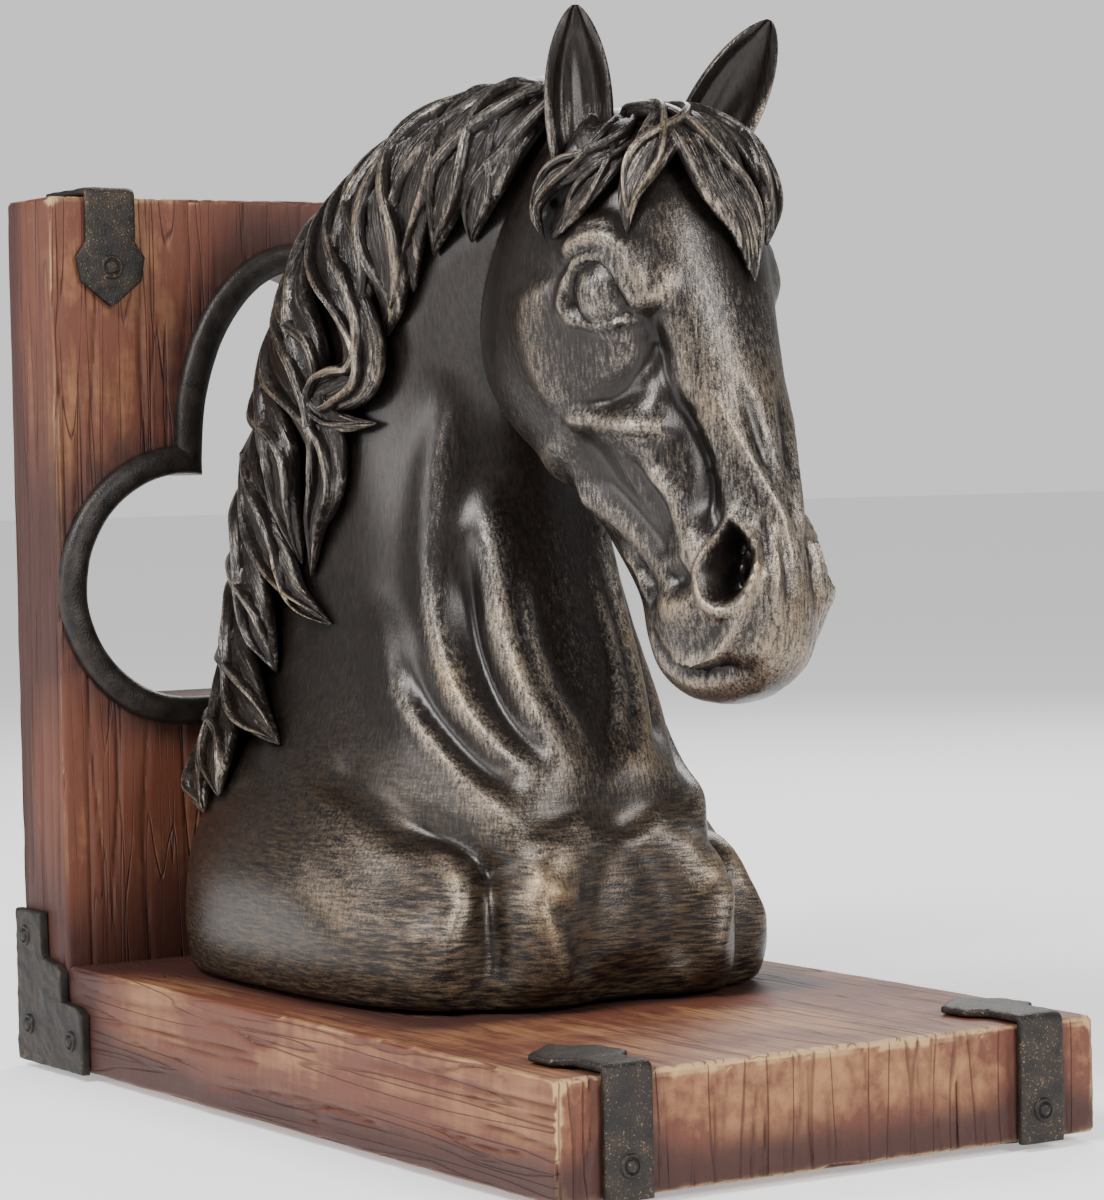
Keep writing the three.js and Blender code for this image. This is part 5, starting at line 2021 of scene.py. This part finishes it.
@dataclass
class Fittings:
    """The rim, straps, brackets and feet."""

    window: Trefoil
    front_middle: float = 45.0
    front_half: float = 5.0
    front_reach: float = 24.0
    front_rivet: Point = (16.0, 2.2)
    top_middle: float = 45.5
    top_half: float = 5.75
    top_drop: float = 23.0
    top_reach: float = 18.0
    top_rivet: Point = (15.0, 2.6)
    flare: float = 8.0
    tip: float = 0.6
    worn_reach: float = 1.2

    def straps(self, hand: str, side: float) -> list[Piece]:
        """Bends one side's two straps over their edges.

        Args:
            hand: "right" or "left", as the horse has them.
            side: -1 or 1 to match.
        Returns:
            The strap over the base's front edge and the one over the upright's top.
        """
        half, flare, top_half = self.front_half, self.flare, self.top_half
        front = Strap(
            f"front_strap_{hand}_iron", (STAND.run, STAND.thick), side * self.front_middle,
            STAND.thick, self.front_reach, ((0.0, half), (1.0, half)),
            ((0.0, half), (0.33, half), (0.46, flare), (0.75, flare), (1.0, self.tip)), self.front_rivet)
        top = Strap(
            f"top_strap_{hand}_iron", (STAND.thick, STAND.height), side * self.top_middle,
            self.top_drop, self.top_reach,
            ((0.0, top_half), (0.42, top_half), (0.56, flare), (0.78, flare - 1.0), (1.0, self.tip)),
            ((0.0, top_half), (1.0, top_half)), self.top_rivet)
        return [front.build(), top.build()]

    def foot(self, node: str) -> Piece:
        """A pad as wide and as high as one foot's node.

        Args:
            node: the node it stands for.
        Returns:
            The pad's object.
        """
        low, high = (np.array(corner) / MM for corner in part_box(node))
        x, y = (low[:2] + high[:2]) / 2 - (STAND.back, 0.0)
        return foot_form(x, y, (high[0] - low[0]) / 2, high[2] - low[2]).object(f"{node}_pad")

    def finish(self) -> None:
        """Makes every fitting, marks its worn places and paints it."""
        iron, rubber = IronPaint(), PadRubber().material()
        rim_paint = iron.material("rim_paint", 0.25, 0.32)
        beaten = iron.material("strap_iron", 1.0, 0.42)
        plain = iron.material("bracket_iron", 0.35, 0.45)
        pieces = [(self.window.band().object("rim_band"), Slot.RIM, "trefoil_rim", rim_paint)]
        for hand, side in (("right", -1.0), ("left", 1.0)):
            for strap, edge in zip(self.straps(hand, side), ("front", "top")):
                pieces.append((strap, Slot.IRON, f"{edge}_strap_{hand}", beaten))
            bracket = f"corner_bracket_{hand}"
            pieces.append((Bracket(f"{bracket}_iron", side).build(), Slot.IRON, bracket, plain))
            for end in ("back", "front"):
                node = f"foot_{end}_{hand}"
                pieces.append((self.foot(node), Slot.PAD, node, rubber))
        for piece, slot, node, material in pieces:
            mark(piece, "raised", standing_out(piece, self.worn_reach))
            dress(piece, material, node, 50.0)


@dataclass(frozen=True)
class Studio:
    """Camera at the photograph's viewing angle, pale floor and soft light."""

    camera_at: Point = (0.65084, -0.40003, 0.12698)
    azimuth: float = 57.861
    elevation: float = 2.0396
    roll: float = -1.1578
    focal_share: float = 3848.1 / 1200.0  # focal length over the picture's height
    sensor: float = 36.0
    fill: float = 0.36
    backdrop: float = 0.9
    floor_half: float = 9.0
    floor_white: Colour = (0.93, 0.93, 0.93)
    floor_glow: float = 0.42
    look_at: Point = (0.0, 0.0, 0.1)
    lamps: tuple[tuple[str, Point, float, float], ...] = (  # name, place, size and watts
        ("key", (0.25, -0.75, 0.8), 0.35, 14.0),
        ("front", (0.95, 0.15, 0.5), 0.35, 9.0),
        ("back", (-0.6, 0.6, 0.7), 0.5, 6.0),
        ("left_fill", (-0.35, -0.9, 0.35), 0.4, 4.0),
    )

    def camera(self) -> None:
        """Puts the camera where the photograph was taken, looking the same way."""
        lens = bpy.data.cameras.new("photo_camera")
        lens.sensor_fit = "VERTICAL"
        lens.sensor_height = self.sensor
        lens.lens = self.focal_share * self.sensor
        lens.clip_start = 0.01
        turn, rise, roll = (np.radians(value) for value in (self.azimuth, self.elevation, self.roll))
        back = np.array([np.sin(turn) * np.cos(rise), -np.cos(turn) * np.cos(rise), np.sin(rise)])
        right = unit(np.cross(-back, (0.0, 0.0, 1.0)))
        up = np.cross(right, -back)
        turned = right * np.cos(roll) + up * np.sin(roll), up * np.cos(roll) - right * np.sin(roll)
        place = np.eye(4)
        place[:3] = np.column_stack([*turned, back, self.camera_at])
        camera = scene_object("photo_camera", lens)
        camera.matrix_world = Matrix(place.tolist())
        bpy.context.scene.camera = camera

    def floor(self) -> None:
        """Lays a plain pale floor under the feet."""
        floor = bpy.data.meshes.new("studio_floor")
        half = self.floor_half
        corners = [(-half, -half, 0), (half, -half, 0), (half, half, 0), (-half, half, 0)]
        floor.from_pydata(corners, [], [(0, 1, 2, 3)])
        made = scene_object("studio_floor", floor)
        floor.materials.append(Paint("floor_paint").finish(
            Base_Color=self.floor_white, Roughness=0.9,
            Emission_Color=(1.0, 1.0, 1.0), Emission_Strength=self.floor_glow))

    def lamp(self, name: str, place: Point, size: float, power_w: float) -> None:
        """Hangs one square soft light that looks at the object.

        Args:
            name: the lamp's name.
            place: where it hangs, in metres.
            size: its edge in metres.
            power_w: its power in watts.
        """
        light = bpy.data.lights.new(name, "AREA")
        light.size = size
        light.energy = power_w
        made = scene_object(name, light)
        made.location = place
        made.rotation_euler = (Vector(place) - Vector(self.look_at)).to_track_quat("Z", "Y").to_euler()

    def light(self) -> None:
        """Lights the object from above, from both sides and a little from behind."""
        world = bpy.data.worlds.new("studio")
        world.use_nodes = True
        nodes, links = world.node_tree.nodes, world.node_tree.links
        background = nodes["Background"]
        background.inputs["Color"].default_value = (1.0, 1.0, 1.0, 1.0)
        seen = nodes.new("ShaderNodeMapRange")
        seen.inputs["To Min"].default_value = self.fill
        seen.inputs["To Max"].default_value = self.backdrop
        links.new(nodes.new("ShaderNodeLightPath").outputs["Is Camera Ray"], seen.inputs["Value"])
        links.new(seen.outputs["Result"], background.inputs["Strength"])
        bpy.context.scene.world = world
        for lamp in self.lamps:
            self.lamp(*lamp)


def main() -> None:
    """Builds the studio and every piece."""
    logging.basicConfig(level=logging.INFO, format="%(message)s")
    studio = Studio()
    studio.camera()
    studio.floor()
    studio.light()
    window = Trefoil()
    Bust().finish()
    build_boards(window)
    Fittings(window).finish()


if __name__ == "__main__":
    main()
